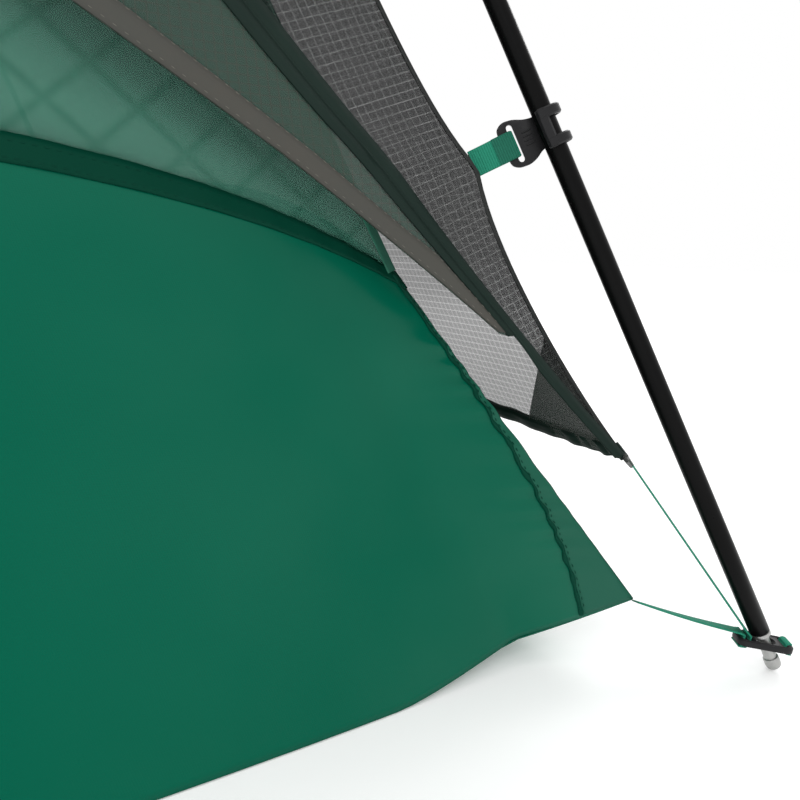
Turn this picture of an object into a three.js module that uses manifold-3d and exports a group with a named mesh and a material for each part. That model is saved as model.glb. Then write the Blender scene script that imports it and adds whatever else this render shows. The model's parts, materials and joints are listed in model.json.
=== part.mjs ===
// Free-standing double-wall dome shelter: four poles meeting in a hub, an outer fly
// clipped under them, a hip-shaped inner tent and a coated bathtub floor.
// Millimetres, +Z up. The origin is the middle of the ground rectangle between the feet.
import * as THREE from 'three';
import { mergeVertices } from 'three/addons/utils/BufferGeometryUtils.js';
import Module from 'manifold-3d';

const wasm = await Module();
wasm.setup();

// Driving dimensions
const HALF_LENGTH = 1120; // middle to a pole foot along X
const HALF_WIDTH = 750; // middle to a pole foot along Y
const LEAN = THREE.MathUtils.degToRad(27.4); // lower pole away from upright
const STRAIGHT = 466; // length of the straight lower pole section
const POLE_RADIUS = 4.75;
const POLE_BORE = 4.2;
const ROUND = 12; // sides of small turned parts
const ARC_STEPS = 12;
const FABRIC = 1.6; // thickness of every cloth solid
const RIDGE_GAP = 1.4; // from a panel's edge to the seam line it shares
const CLEARANCE = 0.4;

// Fly: distance of its hips under the poles, and its door
const FLY_CORNER = 131; // along the pole from the foot to the fly's corner
const FLY_DROP = 47; // under the pole, between clips
const CLIP_PULL = 8; // how much a clip lifts the hip towards the pole
const CLIP_REACH = 28;
const DOOR_CORNER = 1050; // middle to the door's lower corner along X
const ZIP_RISE = 1145; // along the pole, corner to the top of the zip arch
const HEM_RISE = 517; // along the pole, corner to the top of the door's hem
const ZIP_WIDTH = 14;
const END_HEM_RISE = 120;

// Inner tent and bathtub floor
const INNER_DROP = 88.4;
const TUB_CORNER_HEIGHT = 186; // top of the bathtub at its corners
const TUB_SWELL = 58; // how much higher its edge is away from the corners
const TUB_SWELL_REACH = 105;
const TUB_TOP = [957, 641]; // half sides of the bathtub's top edge
const TUB_BASE = [1059, 709.2]; // half sides between the bathtub's lifted corners
const CORNER_LIFT = 33;
const LIFT_REACH = 122;
const DOOR_HALF = 380; // inner door
const DOOR_SIDE = 430;
const DOOR_ARCH = 140;

// Hardware
const CLIP_PLACES = [282, 0]; // the second one is set on the arc below
const CLIP_LENGTH = 18.6;
const CLIP_REST = 5.1; // inner radius of the hook
const CLIP_OUTER = 7.4;
const CLIP_SPAN = 20.8; // pole axis to the far edge of the clip
const WEBBING = 12;
const TAPE = 9.5;
const PLATE_LENGTH = 27.5;
const PLATE_WIDTH = 13;
const PLATE_THICK = 3;
const PLATE_PLACE = 16.4; // along the pole from the foot
const PLATE_TILT = THREE.MathUtils.degToRad(8); // inner end raised by the tapes
const PLATE_BORE = 4.1;
const TIP_FOOT = 1.35; // along the pole, so that the leaning tip just meets the ground
const COLLAR_FOOT = 20.8; // underside of the tip's collar
const COLLAR_RECESS = 5.2; // radius of the plate's recess for it
const TUBE_FOOT = 22.9; // where the black tube ends above the tip

const DIAGONAL = Math.atan2(HALF_WIDTH, HALF_LENGTH);
const HALF_DIAGONAL = Math.hypot(HALF_LENGTH, HALF_WIDTH);
const ARC_CENTRE_IN = HALF_DIAGONAL;
const BEND = (HALF_DIAGONAL - STRAIGHT * Math.sin(LEAN)) / Math.cos(LEAN);
const ARC_CENTRE_UP = STRAIGHT * Math.cos(LEAN) - BEND * Math.sin(LEAN);
const ARC_ANGLE = Math.PI / 2 - LEAN;
const LEG_LENGTH = STRAIGHT + BEND * ARC_ANGLE;
const TOP_STOP = LEG_LENGTH - 6;

const CORNERS = [
  { name: 'front_right', sx: 1, sy: -1 },
  { name: 'back_right', sx: 1, sy: 1 },
  { name: 'back_left', sx: -1, sy: 1 },
  { name: 'front_left', sx: -1, sy: -1 },
];

function finish(color, roughness, metalness = 0) {
  return new THREE.MeshStandardMaterial({ color, roughness, metalness });
}

const anodised = finish(0x16171a, 0.35, 0.6);
const bareMetal = finish(0xb8bab8, 0.35, 0.9);
const plastic = finish(0x1d1e20, 0.5);
const flyCloth = finish(0x565957, 0.75);
const doorCloth = finish(0x5a655f, 0.75);
const tubCloth = finish(0x005a43, 0.4);
const innerCloth = finish(0x5f9583, 0.8);
const webbing = finish(0x2f9272, 0.8);

// A point by its distance along a leg and its depth under the pole's axis:
// how far in from the foot along the diagonal, how high, and the pole's slope there.
function legAt(along, depth) {
  if (along <= STRAIGHT) {
    return {
      inward: along * Math.sin(LEAN) + depth * Math.cos(LEAN),
      height: along * Math.cos(LEAN) - depth * Math.sin(LEAN),
      slope: ARC_ANGLE,
    };
  }
  const slope = ARC_ANGLE - (along - STRAIGHT) / BEND;
  return {
    inward: ARC_CENTRE_IN - (BEND - depth) * Math.sin(slope),
    height: ARC_CENTRE_UP + (BEND - depth) * Math.cos(slope),
    slope,
  };
}

// The middle of one straight step of the pole's arc, where a clip can sit square
function arcStep(index) {
  const step = (LEG_LENGTH - STRAIGHT) / ARC_STEPS;
  return STRAIGHT + (index + 0.5) * step;
}
CLIP_PLACES[1] = arcStep(4);

function flyDepth(along, fromHip) {
  const resting = FLY_DROP - 21 * Math.exp((FLY_CORNER - along) / 90);
  let pull = 0;
  for (const place of CLIP_PLACES) {
    pull += CLIP_PULL * Math.exp(-Math.abs(along - place) / CLIP_REACH);
  }
  return resting - pull * Math.exp(-fromHip / 60);
}

function hipHalf(along, depth) {
  const inward = legAt(along, depth).inward;
  return [HALF_LENGTH - inward * Math.cos(DIAGONAL), HALF_WIDTH - inward * Math.sin(DIAGONAL)];
}

// Points of the four faces of a hip-shaped tent, by how far across and how far up the leg
function sideFace(sy, x, along, depth) {
  const at = legAt(along, depth);
  return new THREE.Vector3(x, sy * (HALF_WIDTH - at.inward * Math.sin(DIAGONAL)), at.height);
}

function endFace(sx, y, along, depth) {
  const at = legAt(along, depth);
  return new THREE.Vector3(sx * (HALF_LENGTH - at.inward * Math.cos(DIAGONAL)), y, at.height);
}

// A thin closed solid: a segmented box whose mid-plane is laid on a surface of u and v
function cloth(name, surface, columns, rows, material) {
  const geometry = new THREE.BoxGeometry(1, 1, 1, columns, rows, 1);
  const position = geometry.attributes.position;
  const step = 0.002;
  for (let i = 0; i < position.count; i++) {
    const u = position.getX(i) + 0.5;
    const v = position.getY(i) + 0.5;
    const across = surface(Math.min(u + step, 1), v).sub(surface(Math.max(u - step, 0), v));
    const upward = surface(u, Math.min(v + step, 1)).sub(surface(u, Math.max(v - step, 0)));
    const normal = across.cross(upward).normalize();
    const point = surface(u, v).addScaledVector(normal, position.getZ(i) * FABRIC);
    position.setXYZ(i, point.x, point.y, point.z);
  }
  matchDiagonals(geometry);
  return piece(name, geometry, material);
}

// Cuts the inner side's quads along the same diagonals as the outer side's, so that the
// two sides of a twisted panel stay one thickness apart
function matchDiagonals(geometry) {
  const index = geometry.index.array;
  const { start, count } = geometry.groups[5];
  for (let i = start; i < start + count; i += 6) {
    const [a, b, d] = index.slice(i, i + 3);
    const c = index[i + 4];
    index.set([a, b, c, a, c, d], i);
  }
}

function piece(name, geometry, material) {
  const mesh = new THREE.Mesh(geometry, material);
  mesh.name = name;
  return mesh;
}

// Spaces steps of t from 0 to 1 closer together at both ends
function bunched(t) {
  return 0.5 - 0.5 * Math.cos(Math.PI * t);
}

function toSolid(geometry) {
  const bare = geometry.clone();
  bare.deleteAttribute('normal');
  bare.deleteAttribute('uv');
  const merged = mergeVertices(bare, 1e-4);
  return new wasm.Manifold(new wasm.Mesh({
    numProp: 3,
    vertProperties: merged.attributes.position.array,
    triVerts: Uint32Array.from(merged.index.array),
  }));
}

function toGeometry(solid) {
  const mesh = solid.getMesh();
  const geometry = new THREE.BufferGeometry();
  geometry.setAttribute('position', new THREE.BufferAttribute(mesh.vertProperties, 3));
  geometry.setIndex(new THREE.BufferAttribute(mesh.triVerts, 1));
  return geometry;
}

function lathe(points, segments) {
  const outline = points.map(([radius, height]) => new THREE.Vector2(radius, height));
  const geometry = new THREE.LatheGeometry(outline, segments);
  geometry.rotateX(Math.PI / 2);
  return geometry;
}

// A rounded slot, long across Y and centred on (x, 0)
function slotPath(x, length, width) {
  const path = new THREE.Path();
  const reach = length / 2 - width / 2;
  path.absarc(x, reach, width / 2, 0, Math.PI, false);
  path.absarc(x, -reach, width / 2, Math.PI, 2 * Math.PI, false);
  return path;
}

// ---- Poles -------------------------------------------------------------------

function poleLower(name) {
  const ends = [TUBE_FOOT, STRAIGHT - CLEARANCE / 2];
  const outline = [[POLE_BORE, ends[0]], [POLE_RADIUS, ends[0]], [POLE_RADIUS, ends[1]],
    [POLE_BORE, ends[1]], [POLE_BORE, ends[0]]];
  const mesh = piece(name, lathe(outline, ROUND), anodised);
  mesh.rotation.y = LEAN;
  return mesh;
}

class LegArc extends THREE.Curve {
  getPoint(t) {
    const along = THREE.MathUtils.lerp(STRAIGHT + CLEARANCE / 2, LEG_LENGTH - 17, t);
    const at = legAt(along, 0);
    return new THREE.Vector3(at.inward, 0, at.height);
  }
}

function poleUpper(name) {
  const ring = new THREE.Shape();
  ring.absarc(0, 0, POLE_RADIUS, 0, 2 * Math.PI, false);
  const bore = new THREE.Path();
  bore.absarc(0, 0, POLE_BORE, 0, 2 * Math.PI, true);
  ring.holes.push(bore);
  const geometry = new THREE.ExtrudeGeometry(ring, {
    steps: ARC_STEPS, curveSegments: 4, extrudePath: new LegArc(), bevelEnabled: false,
  });
  return piece(name, geometry, anodised);
}

function poleTip(name) {
  const outline = [[0, TIP_FOOT], [2.6, TIP_FOOT], [3.7, TIP_FOOT + 1.2], [3.7, 6.4], [2.95, 6.8],
    [2.95, COLLAR_FOOT],
    [4.75, COLLAR_FOOT], [4.75, COLLAR_FOOT + 1.8], [3.85, COLLAR_FOOT + 1.8], [3.85, 44], [0, 44]];
  const mesh = piece(name, lathe(outline, ROUND), bareMetal);
  mesh.rotation.y = LEAN;
  return mesh;
}

function poleHub() {
  const top = ARC_CENTRE_UP + BEND;
  const half = 9;
  const disc = lathe([[0, -half], [17, -half], [20, -half + 3], [20, half - 3], [17, half], [0, half]], 16);
  let solid = toSolid(disc);
  const cuts = [];
  for (const { sx, sy } of CORNERS) {
    const heading = Math.atan2(sy * HALF_WIDTH, sx * HALF_LENGTH);
    const socket = new THREE.CylinderGeometry(8.8, 8.8, 33, ROUND);
    const bore = new THREE.CylinderGeometry(6.6, 6.6, 33, ROUND);
    for (const [tube, from] of [[socket, 5], [bore, 16]]) {
      tube.rotateZ(-Math.PI / 2);
      tube.translate(from + 16.5, 0, 0);
      tube.rotateZ(heading);
    }
    solid = solid.add(toSolid(socket));
    cuts.push(bore);
  }
  for (const bore of cuts) {
    solid = solid.subtract(toSolid(bore));
  }
  const mesh = piece('pole_hub', toGeometry(solid), plastic);
  mesh.position.z = top;
  return mesh;
}

// ---- Clips and foot plates, in a frame whose X runs from the pole to the fabric,
// Y up along the pole and Z to the side

function clipGeometry() {
  const outline = new THREE.Shape();
  outline.moveTo(-4, -CLIP_LENGTH / 2);
  outline.lineTo(5, -8);
  outline.quadraticCurveTo(12, -12.6, 16.5, -10.6);
  outline.quadraticCurveTo(19.6, -9, 20.4, -4);
  outline.lineTo(CLIP_SPAN, 4.5);
  outline.quadraticCurveTo(CLIP_SPAN, 10.6, 14.5, 10.4);
  outline.quadraticCurveTo(9, 8.2, 5, 7.4);
  outline.lineTo(-4, CLIP_LENGTH / 2);
  outline.closePath();
  outline.holes.push(slotPath(14.8, 17.4, 2.8));
  const plate = new THREE.ExtrudeGeometry(outline, { depth: 2.2, curveSegments: 2, bevelEnabled: false });
  plate.translate(0, 0, CLIP_OUTER - 2.25);

  const start = Math.PI / 2;
  const end = 2 * Math.PI - THREE.MathUtils.degToRad(65);
  const hook = new THREE.Shape();
  hook.absarc(0, 0, CLIP_OUTER, start, end, false);
  hook.absarc(0, 0, CLIP_REST, end, start, true);
  hook.closePath();
  const wrap = new THREE.ExtrudeGeometry(hook, { depth: CLIP_LENGTH, curveSegments: 6, bevelEnabled: false });
  wrap.translate(0, 0, -CLIP_LENGTH / 2);
  wrap.rotateX(Math.PI / 2);
  wrap.scale(1, 1, -1);
  const flip = wrap.index ? wrap : mergeVertices(wrap);
  flip.index.array.reverse();
  const gap = new THREE.BoxGeometry(12, 8.4, 14);
  gap.translate(-8, 0, -3);
  const solid = toSolid(flip).add(toSolid(plate)).subtract(toSolid(gap));
  return toGeometry(solid);
}

const CLIP = clipGeometry();

function clipFrame(object, along) {
  const at = legAt(along, 0);
  const half = (BEND * (1 - Math.cos((LEG_LENGTH - STRAIGHT) / ARC_STEPS / BEND / 2)));
  const drop = along > STRAIGHT ? half : 0;
  const seat = legAt(along, drop);
  const out = new THREE.Vector3(Math.sin(at.slope), 0, -Math.cos(at.slope));
  const up = new THREE.Vector3(Math.cos(at.slope), 0, Math.sin(at.slope));
  const basis = new THREE.Matrix4().makeBasis(out, up, new THREE.Vector3().crossVectors(out, up));
  object.quaternion.setFromRotationMatrix(basis);
  object.position.set(seat.inward, 0, seat.height);
  return object;
}

function poleClip(name, along) {
  return clipFrame(piece(name, CLIP, plastic), along);
}

function clipStrap(name, along) {
  const from = CLIP_SPAN + 1;
  const to = flyDepth(along, 0) - 1.2;
  const geometry = new THREE.BoxGeometry(to - from, WEBBING, 1.2);
  geometry.translate((from + to) / 2, 0, CLIP_OUTER - 1.2);
  return clipFrame(piece(name, geometry, webbing), along);
}

function footPlate(name) {
  const outline = new THREE.Shape();
  const reach = PLATE_LENGTH / 2 - 5;
  outline.absarc(reach, PLATE_WIDTH / 2 - 5, 5, 0, Math.PI / 2, false);
  outline.absarc(-reach, PLATE_WIDTH / 2 - 5, 5, Math.PI / 2, Math.PI, false);
  outline.absarc(-reach, 5 - PLATE_WIDTH / 2, 5, Math.PI, 1.5 * Math.PI, false);
  outline.absarc(reach, 5 - PLATE_WIDTH / 2, 5, 1.5 * Math.PI, 2 * Math.PI, false);
  outline.holes.push(slotPath(11.4, 8.6, 1.6));
  outline.holes.push(slotPath(8, 9.6, 1.6));
  outline.holes.push(slotPath(-9.6, 9.2, 1.8));
  const slab = new THREE.ExtrudeGeometry(outline, {
    depth: PLATE_THICK, curveSegments: 2, bevelEnabled: false,
  });
  slab.translate(0.9, 0, -PLATE_THICK / 2);
  slab.rotateY(-PLATE_TILT);
  let solid = toSolid(slab);
  for (const [radius, from] of [[PLATE_BORE, -15], [COLLAR_RECESS, COLLAR_FOOT - PLATE_PLACE - 0.4]]) {
    const bore = new THREE.CylinderGeometry(radius, radius, 30, ROUND);
    bore.rotateX(Math.PI / 2);
    bore.translate(0, 0, from + 15);
    bore.rotateY(LEAN);
    solid = solid.subtract(toSolid(bore));
  }
  const mesh = piece(name, toGeometry(solid), plastic);
  const at = legAt(PLATE_PLACE, 0);
  mesh.position.set(at.inward, 0, at.height);
  return mesh;
}

// A flat tape in the leg's plane, from the foot plate's end to a fabric corner
function cornerTape(name, to, lift) {
  const end = PLATE_PLACE;
  const root = legAt(end, 0);
  const reach = PLATE_LENGTH / 2 + 0.9 + 1;
  const from = new THREE.Vector2(root.inward + reach * Math.cos(PLATE_TILT),
    root.height + reach * Math.sin(PLATE_TILT) + lift);
  const span = new THREE.Vector2(to[0] - from.x, to[1] - from.y);
  const geometry = new THREE.BoxGeometry(span.length(), TAPE, 0.8, 8, 1, 1);
  const mesh = piece(name, geometry, webbing);
  mesh.position.set(from.x + span.x / 2, 0, from.y + span.y / 2);
  mesh.rotation.y = -Math.atan2(span.y, span.x);
  return mesh;
}

// One corner's leg, in a frame at the foot whose X points to the middle of the floor
function leg({ name, sx, sy }) {
  const group = new THREE.Group();
  group.position.set(sx * HALF_LENGTH, sy * HALF_WIDTH, 0);
  group.rotation.z = Math.atan2(-sy * HALF_WIDTH, -sx * HALF_LENGTH);
  const flyCorner = legAt(FLY_CORNER - 2.5, flyDepth(FLY_CORNER, 0));
  group.add(
    poleTip(`pole_tip_${name}`),
    poleLower(`pole_lower_${name}`),
    poleUpper(`pole_upper_${name}`),
    footPlate(`foot_plate_${name}`),
    poleClip(`clip_low_${name}`, CLIP_PLACES[0]),
    poleClip(`clip_high_${name}`, CLIP_PLACES[1]),
    clipStrap(`clip_strap_low_${name}`, CLIP_PLACES[0]),
    clipStrap(`clip_strap_high_${name}`, CLIP_PLACES[1]),
    cornerTape(`fly_tape_${name}`, [flyCorner.inward - 1.5, flyCorner.height], 1.6),
    cornerTape(`floor_tape_${name}`, [71.5, CORNER_LIFT - 1], -0.4),
  );
  return group;
}

// ---- Fly -----------------------------------------------------------------------

// The door's zip arch and its hem, as points across and along the leg, from the right
// corner (turn 0) over the middle (turn pi/2) to the left corner (turn pi)
function zipArch(turn) {
  const across = Math.sign(Math.cos(turn)) * Math.abs(Math.cos(turn)) ** (2 / 1.3);
  return [DOOR_CORNER * across, FLY_CORNER + ZIP_RISE * Math.sin(turn) ** 2];
}

function hemArch(turn) {
  const across = Math.sign(Math.cos(turn)) * Math.abs(Math.cos(turn)) ** (2 / 1.62);
  return [DOOR_CORNER * across, FLY_CORNER + HEM_RISE * Math.sin(turn) ** (2 / 1.2)];
}

// The hip that both fly faces share, on the same turn
function hipAt(turn) {
  const along = FLY_CORNER + (TOP_STOP - FLY_CORNER) * Math.sin(turn) ** 2;
  const half = hipHalf(along, flyDepth(along, 0))[0] - RIDGE_GAP;
  return [Math.sign(Math.cos(turn)) * half, along];
}

function flyFace(sy, x, along) {
  const fromHip = Math.max(hipHalf(along, flyDepth(along, 0))[0] - Math.abs(x), 0);
  return sideFace(sy, x, along, flyDepth(along, fromHip));
}

function shrunk([x, along], amount) {
  const keep = 1 - amount / Math.max(Math.hypot(x, along - FLY_CORNER), amount);
  return [x * keep, FLY_CORNER + (along - FLY_CORNER) * keep];
}

// Faces on the back are run right to left, so a face keeps its outer side outwards
function turnAt(u, sy, margin) {
  const turn = margin + (Math.PI - 2 * margin) * u;
  return sy < 0 ? Math.PI - turn : turn;
}

function flySide(name, sy) {
  return cloth(name, (u, v) => {
    const turn = turnAt(u, sy, 0.2);
    const inner = zipArch(turn);
    const outer = hipAt(turn);
    const x = THREE.MathUtils.lerp(inner[0], outer[0], v);
    return flyFace(sy, x, THREE.MathUtils.lerp(inner[1], outer[1], v));
  }, 24, 4, flyCloth);
}

function flyDoor(name, sy) {
  return cloth(name, (u, v) => {
    const turn = turnAt(u, sy, 0.4);
    const upper = shrunk(zipArch(turn), ZIP_WIDTH);
    const lower = hemArch(turn);
    const x = THREE.MathUtils.lerp(lower[0], upper[0], v);
    return flyFace(sy, x, THREE.MathUtils.lerp(lower[1], upper[1], v));
  }, 22, 3, doorCloth);
}

function flyEnd(name, sx) {
  return cloth(name, (u, v) => {
    const side = 2 * bunched(u) - 1;
    const hem = FLY_CORNER + END_HEM_RISE * (0.5 + 0.5 * Math.cos(Math.PI * side));
    const along = THREE.MathUtils.lerp(hem, TOP_STOP, v);
    const half = hipHalf(along, flyDepth(along, 0))[1] - RIDGE_GAP;
    const depth = flyDepth(along, half * (1 - Math.abs(side)));
    return endFace(sx, sx * side * half, along, depth);
  }, 14, 7, flyCloth);
}

// A zip puller's body, lying on a face along its direction of travel
function slider(name, at, travel, outward) {
  const side = new THREE.Vector3().crossVectors(outward, travel);
  const geometry = new THREE.BoxGeometry(13, 8, 4.4);
  const mesh = piece(name, geometry, plastic);
  mesh.quaternion.setFromRotationMatrix(new THREE.Matrix4().makeBasis(travel, side, outward));
  mesh.position.copy(at).addScaledVector(outward, FABRIC / 2 + 2 * CLEARANCE + 2.2);
  return mesh;
}

// Its rest is low on the zip's far leg; it runs up the straight part of the zip
function flySlider(name, sy) {
  const low = zipArch(0.25);
  const high = zipArch(0.5);
  const from = flyFace(sy, sy * low[0], low[1]);
  const to = flyFace(sy, sy * high[0], high[1]);
  const travel = to.sub(from).normalize();
  const beyond = flyFace(sy, sy * (low[0] - 20), low[1]).sub(from);
  const outward = travel.clone().cross(beyond).normalize();
  return slider(name, from, travel, outward.y * sy < 0 ? outward.negate() : outward);
}

// ---- Inner tent ------------------------------------------------------------------

// Distance along the leg of the bathtub's top edge, by the distance from its corner
function tubEdge(fromCorner) {
  const height = TUB_CORNER_HEIGHT + TUB_SWELL * (1 - Math.exp(-fromCorner / TUB_SWELL_REACH));
  return (height + INNER_DROP * Math.sin(LEAN)) / Math.cos(LEAN);
}

function innerWall(name, face, half, sign) {
  const axis = half === TUB_TOP[0] ? 0 : 1;
  return cloth(name, (u, v) => {
    const side = 2 * bunched(u) - 1;
    const low = tubEdge(half * (1 - Math.abs(side))) + 6;
    const along = THREE.MathUtils.lerp(low, TOP_STOP, v);
    const reach = hipHalf(along, INNER_DROP)[axis] - RIDGE_GAP;
    const across = axis === 0 ? -sign * side * reach : sign * side * reach;
    return face(sign, across, along, INNER_DROP);
  }, 12, 6, innerCloth);
}

// The inner door's outline: up one side, over a low arch and down the other
const DOOR_SILL = tubEdge(TUB_TOP[0]) + 3;

function doorTop(x) {
  return DOOR_SILL + DOOR_SIDE + DOOR_ARCH * Math.sqrt(Math.max(1 - (x / DOOR_HALF) ** 2, 0));
}

function doorEdge(t, margin) {
  const half = DOOR_HALF + margin;
  const leap = 0.3;
  if (t < leap) {
    return [half, THREE.MathUtils.lerp(DOOR_SILL, DOOR_SILL + DOOR_SIDE, t / leap)];
  }
  const turn = (t - leap) / (1 - leap) * Math.PI / 2;
  return [half * Math.cos(turn), DOOR_SILL + DOOR_SIDE + (DOOR_ARCH + margin) * Math.sin(turn)];
}

// The wall round the door, as one strip from the door's edge to the hips
function innerFront() {
  const corner = tubEdge(0) + 3;
  return cloth('inner_wall_front', (u, share) => {
    const t = 1 - Math.abs(2 * u - 1);
    const v = 1 - (1 - share) ** 2;
    const side = u < 0.5 ? -1 : 1;
    const inner = doorEdge(t, 3);
    const up = Math.sin(t * Math.PI / 2);
    const outerAlong = THREE.MathUtils.lerp(corner, TOP_STOP, up);
    const outer = [hipHalf(outerAlong, INNER_DROP)[0] - RIDGE_GAP, outerAlong];
    const x = THREE.MathUtils.lerp(inner[0], outer[0], v);
    const straight = THREE.MathUtils.lerp(inner[1], outer[1], v);
    const sillRun = THREE.MathUtils.lerp(DOOR_SILL, corner, v);
    const sag = tubEdge(TUB_TOP[0] - THREE.MathUtils.lerp(DOOR_HALF, TUB_TOP[0], v)) + 5 - sillRun;
    return sideFace(-1, side * x, straight + sag * (1 - t) ** 8, INNER_DROP);
  }, 24, 6, innerCloth);
}

function innerDoor() {
  return cloth('inner_door', (u, v) => {
    const x = DOOR_HALF * (2 * bunched(u) - 1);
    const along = THREE.MathUtils.lerp(DOOR_SILL, doorTop(x), v);
    return sideFace(-1, x, along, INNER_DROP);
  }, 10, 6, innerCloth);
}

function innerSlider() {
  const at = sideFace(-1, DOOR_HALF - 20, DOOR_SILL - 1.5, INNER_DROP);
  const outward = new THREE.Vector3(0, -Math.sin(ARC_ANGLE), Math.cos(ARC_ANGLE) * Math.sin(DIAGONAL));
  return slider('inner_slider', at, new THREE.Vector3(-1, 0, 0), outward.normalize());
}

// ---- Bathtub floor -------------------------------------------------------------

// How far in from the feet the floor's edge runs, by the distance from the lifted corner
function baseInset(fromCorner, atCorner, dip) {
  const drawn = dip * Math.min(fromCorner / 55, 1);
  const eased = 0.6 * dip * (1 - Math.exp(-Math.max(fromCorner - 55, 0) / 120));
  return atCorner + drawn - eased;
}

function cornerLift(distance) {
  return CORNER_LIFT * Math.max(1 - distance / LIFT_REACH, 0) ** 1.35;
}

function sideEdge(x) {
  return HALF_WIDTH - baseInset(TUB_BASE[0] - Math.abs(x), HALF_WIDTH - TUB_BASE[1], 23.5);
}

function endEdge(y) {
  return HALF_LENGTH - baseInset(TUB_BASE[1] - Math.abs(y), HALF_LENGTH - TUB_BASE[0], 20);
}

function floorSheet() {
  return cloth('floor_sheet', (u, v) => {
    const x = 2 * bunched(u) - 1;
    const y = 2 * bunched(v) - 1;
    const px = x * (endEdge(y * TUB_BASE[1]) - 4);
    const py = y * (sideEdge(x * TUB_BASE[0]) - 4);
    const away = Math.hypot(TUB_BASE[0] - Math.abs(px), TUB_BASE[1] - Math.abs(py));
    return new THREE.Vector3(px, py, FABRIC / 2 + cornerLift(away));
  }, 12, 12, tubCloth);
}

// A bathtub wall, ruled from the floor's edge to the top edge
function tubWall(name, axis, sign) {
  const base = TUB_BASE[axis];
  const top = TUB_TOP[axis];
  return cloth(name, (u, v) => {
    const keep = 1 - 1.8 / base;
    const side = (2 * bunched(u) - 1) * keep;
    const fromCorner = base * (1 - Math.abs(side));
    const edge = axis === 0 ? sideEdge(side * base) : endEdge(side * base);
    const rim = legAt(tubEdge(top * (1 - Math.abs(side))), INNER_DROP);
    const turned = axis === 0 ? Math.sin(DIAGONAL) : Math.cos(DIAGONAL);
    const rimOut = (axis === 0 ? HALF_WIDTH : HALF_LENGTH) - rim.inward * turned;
    const w = 0.014 + 0.982 * v;
    const across = side * THREE.MathUtils.lerp(base, top, w);
    const out = THREE.MathUtils.lerp(edge, rimOut, w);
    const z = THREE.MathUtils.lerp(FABRIC / 2 + cornerLift(fromCorner), rim.height, w);
    return axis === 0
      ? new THREE.Vector3(-sign * across, sign * out, z)
      : new THREE.Vector3(sign * out, sign * across, z);
  }, 12, 3, tubCloth);
}

// ---- The shelter -----------------------------------------------------------------

const shelter = new THREE.Group();
for (const corner of CORNERS) {
  shelter.add(leg(corner));
}
shelter.add(
  poleHub(),
  flySide('fly_side_front', -1),
  flySide('fly_side_back', 1),
  flyDoor('fly_door_front', -1),
  flyDoor('fly_door_back', 1),
  flyEnd('fly_end_right', 1),
  flyEnd('fly_end_left', -1),
  flySlider('fly_slider_front', -1),
  flySlider('fly_slider_back', 1),
  innerFront(),
  innerDoor(),
  innerSlider(),
  innerWall('inner_wall_back', sideFace, TUB_TOP[0], 1),
  innerWall('inner_wall_right', endFace, TUB_TOP[1], 1),
  innerWall('inner_wall_left', endFace, TUB_TOP[1], -1),
  floorSheet(),
  tubWall('tub_wall_front', 0, -1),
  tubWall('tub_wall_back', 0, 1),
  tubWall('tub_wall_right', 1, 1),
  tubWall('tub_wall_left', 1, -1),
);

export default shelter;
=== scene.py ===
import json
import math

import bmesh
import bpy
from mathutils import Matrix, Vector, geometry, noise


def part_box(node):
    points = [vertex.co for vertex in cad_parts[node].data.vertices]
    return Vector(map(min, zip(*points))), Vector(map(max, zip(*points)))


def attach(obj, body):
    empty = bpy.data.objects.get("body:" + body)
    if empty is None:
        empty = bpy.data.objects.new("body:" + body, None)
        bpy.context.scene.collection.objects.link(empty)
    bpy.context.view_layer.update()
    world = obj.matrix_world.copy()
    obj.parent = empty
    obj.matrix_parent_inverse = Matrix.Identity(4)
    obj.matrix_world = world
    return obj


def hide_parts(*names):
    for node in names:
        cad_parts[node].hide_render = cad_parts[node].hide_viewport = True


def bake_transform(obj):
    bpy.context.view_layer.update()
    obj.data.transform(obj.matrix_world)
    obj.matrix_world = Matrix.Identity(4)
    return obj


bl_info = {
    "name": "Dome shelter",
    "version": (1, 0, 0),
    "blender": (4, 5, 0),
    "location": "3D View > Sidebar > Shelter",
    "description": "Cloth, poles and fittings of a free-standing double-wall dome shelter",
    "category": "Object",
}

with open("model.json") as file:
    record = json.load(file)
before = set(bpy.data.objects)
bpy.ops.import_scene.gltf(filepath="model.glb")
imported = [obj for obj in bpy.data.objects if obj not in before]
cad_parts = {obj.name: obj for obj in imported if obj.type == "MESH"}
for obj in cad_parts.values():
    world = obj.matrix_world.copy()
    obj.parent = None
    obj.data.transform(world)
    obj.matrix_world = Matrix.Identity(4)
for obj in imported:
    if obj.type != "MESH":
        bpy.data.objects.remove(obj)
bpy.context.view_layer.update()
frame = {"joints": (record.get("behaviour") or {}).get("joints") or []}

MM = 0.001

# ---- The legs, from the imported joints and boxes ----


def joint(name):
    return next(j for j in frame["joints"] if j["name"] == name)


LOW_CLIP_AXIS = Vector(joint("clip_low_turn_front_right")["axis"]).normalized()
LOW_CLIP_AT = Vector(joint("clip_low_turn_front_right")["pos_m"])
FOOT = LOW_CLIP_AT - LOW_CLIP_AXIS * (LOW_CLIP_AT.z / LOW_CLIP_AXIS.z)
HALF_LENGTH = FOOT.x
HALF_WIDTH = -FOOT.y
LEAN = math.acos(LOW_CLIP_AXIS.z)
POLE_RADIUS = 4.75 * MM
JOINT_GAP = 0.2 * MM
POLE_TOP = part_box("pole_lower_front_right")[1].z
STRAIGHT = (POLE_TOP - POLE_RADIUS * math.sin(LEAN)) / math.cos(LEAN) + JOINT_GAP

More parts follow.
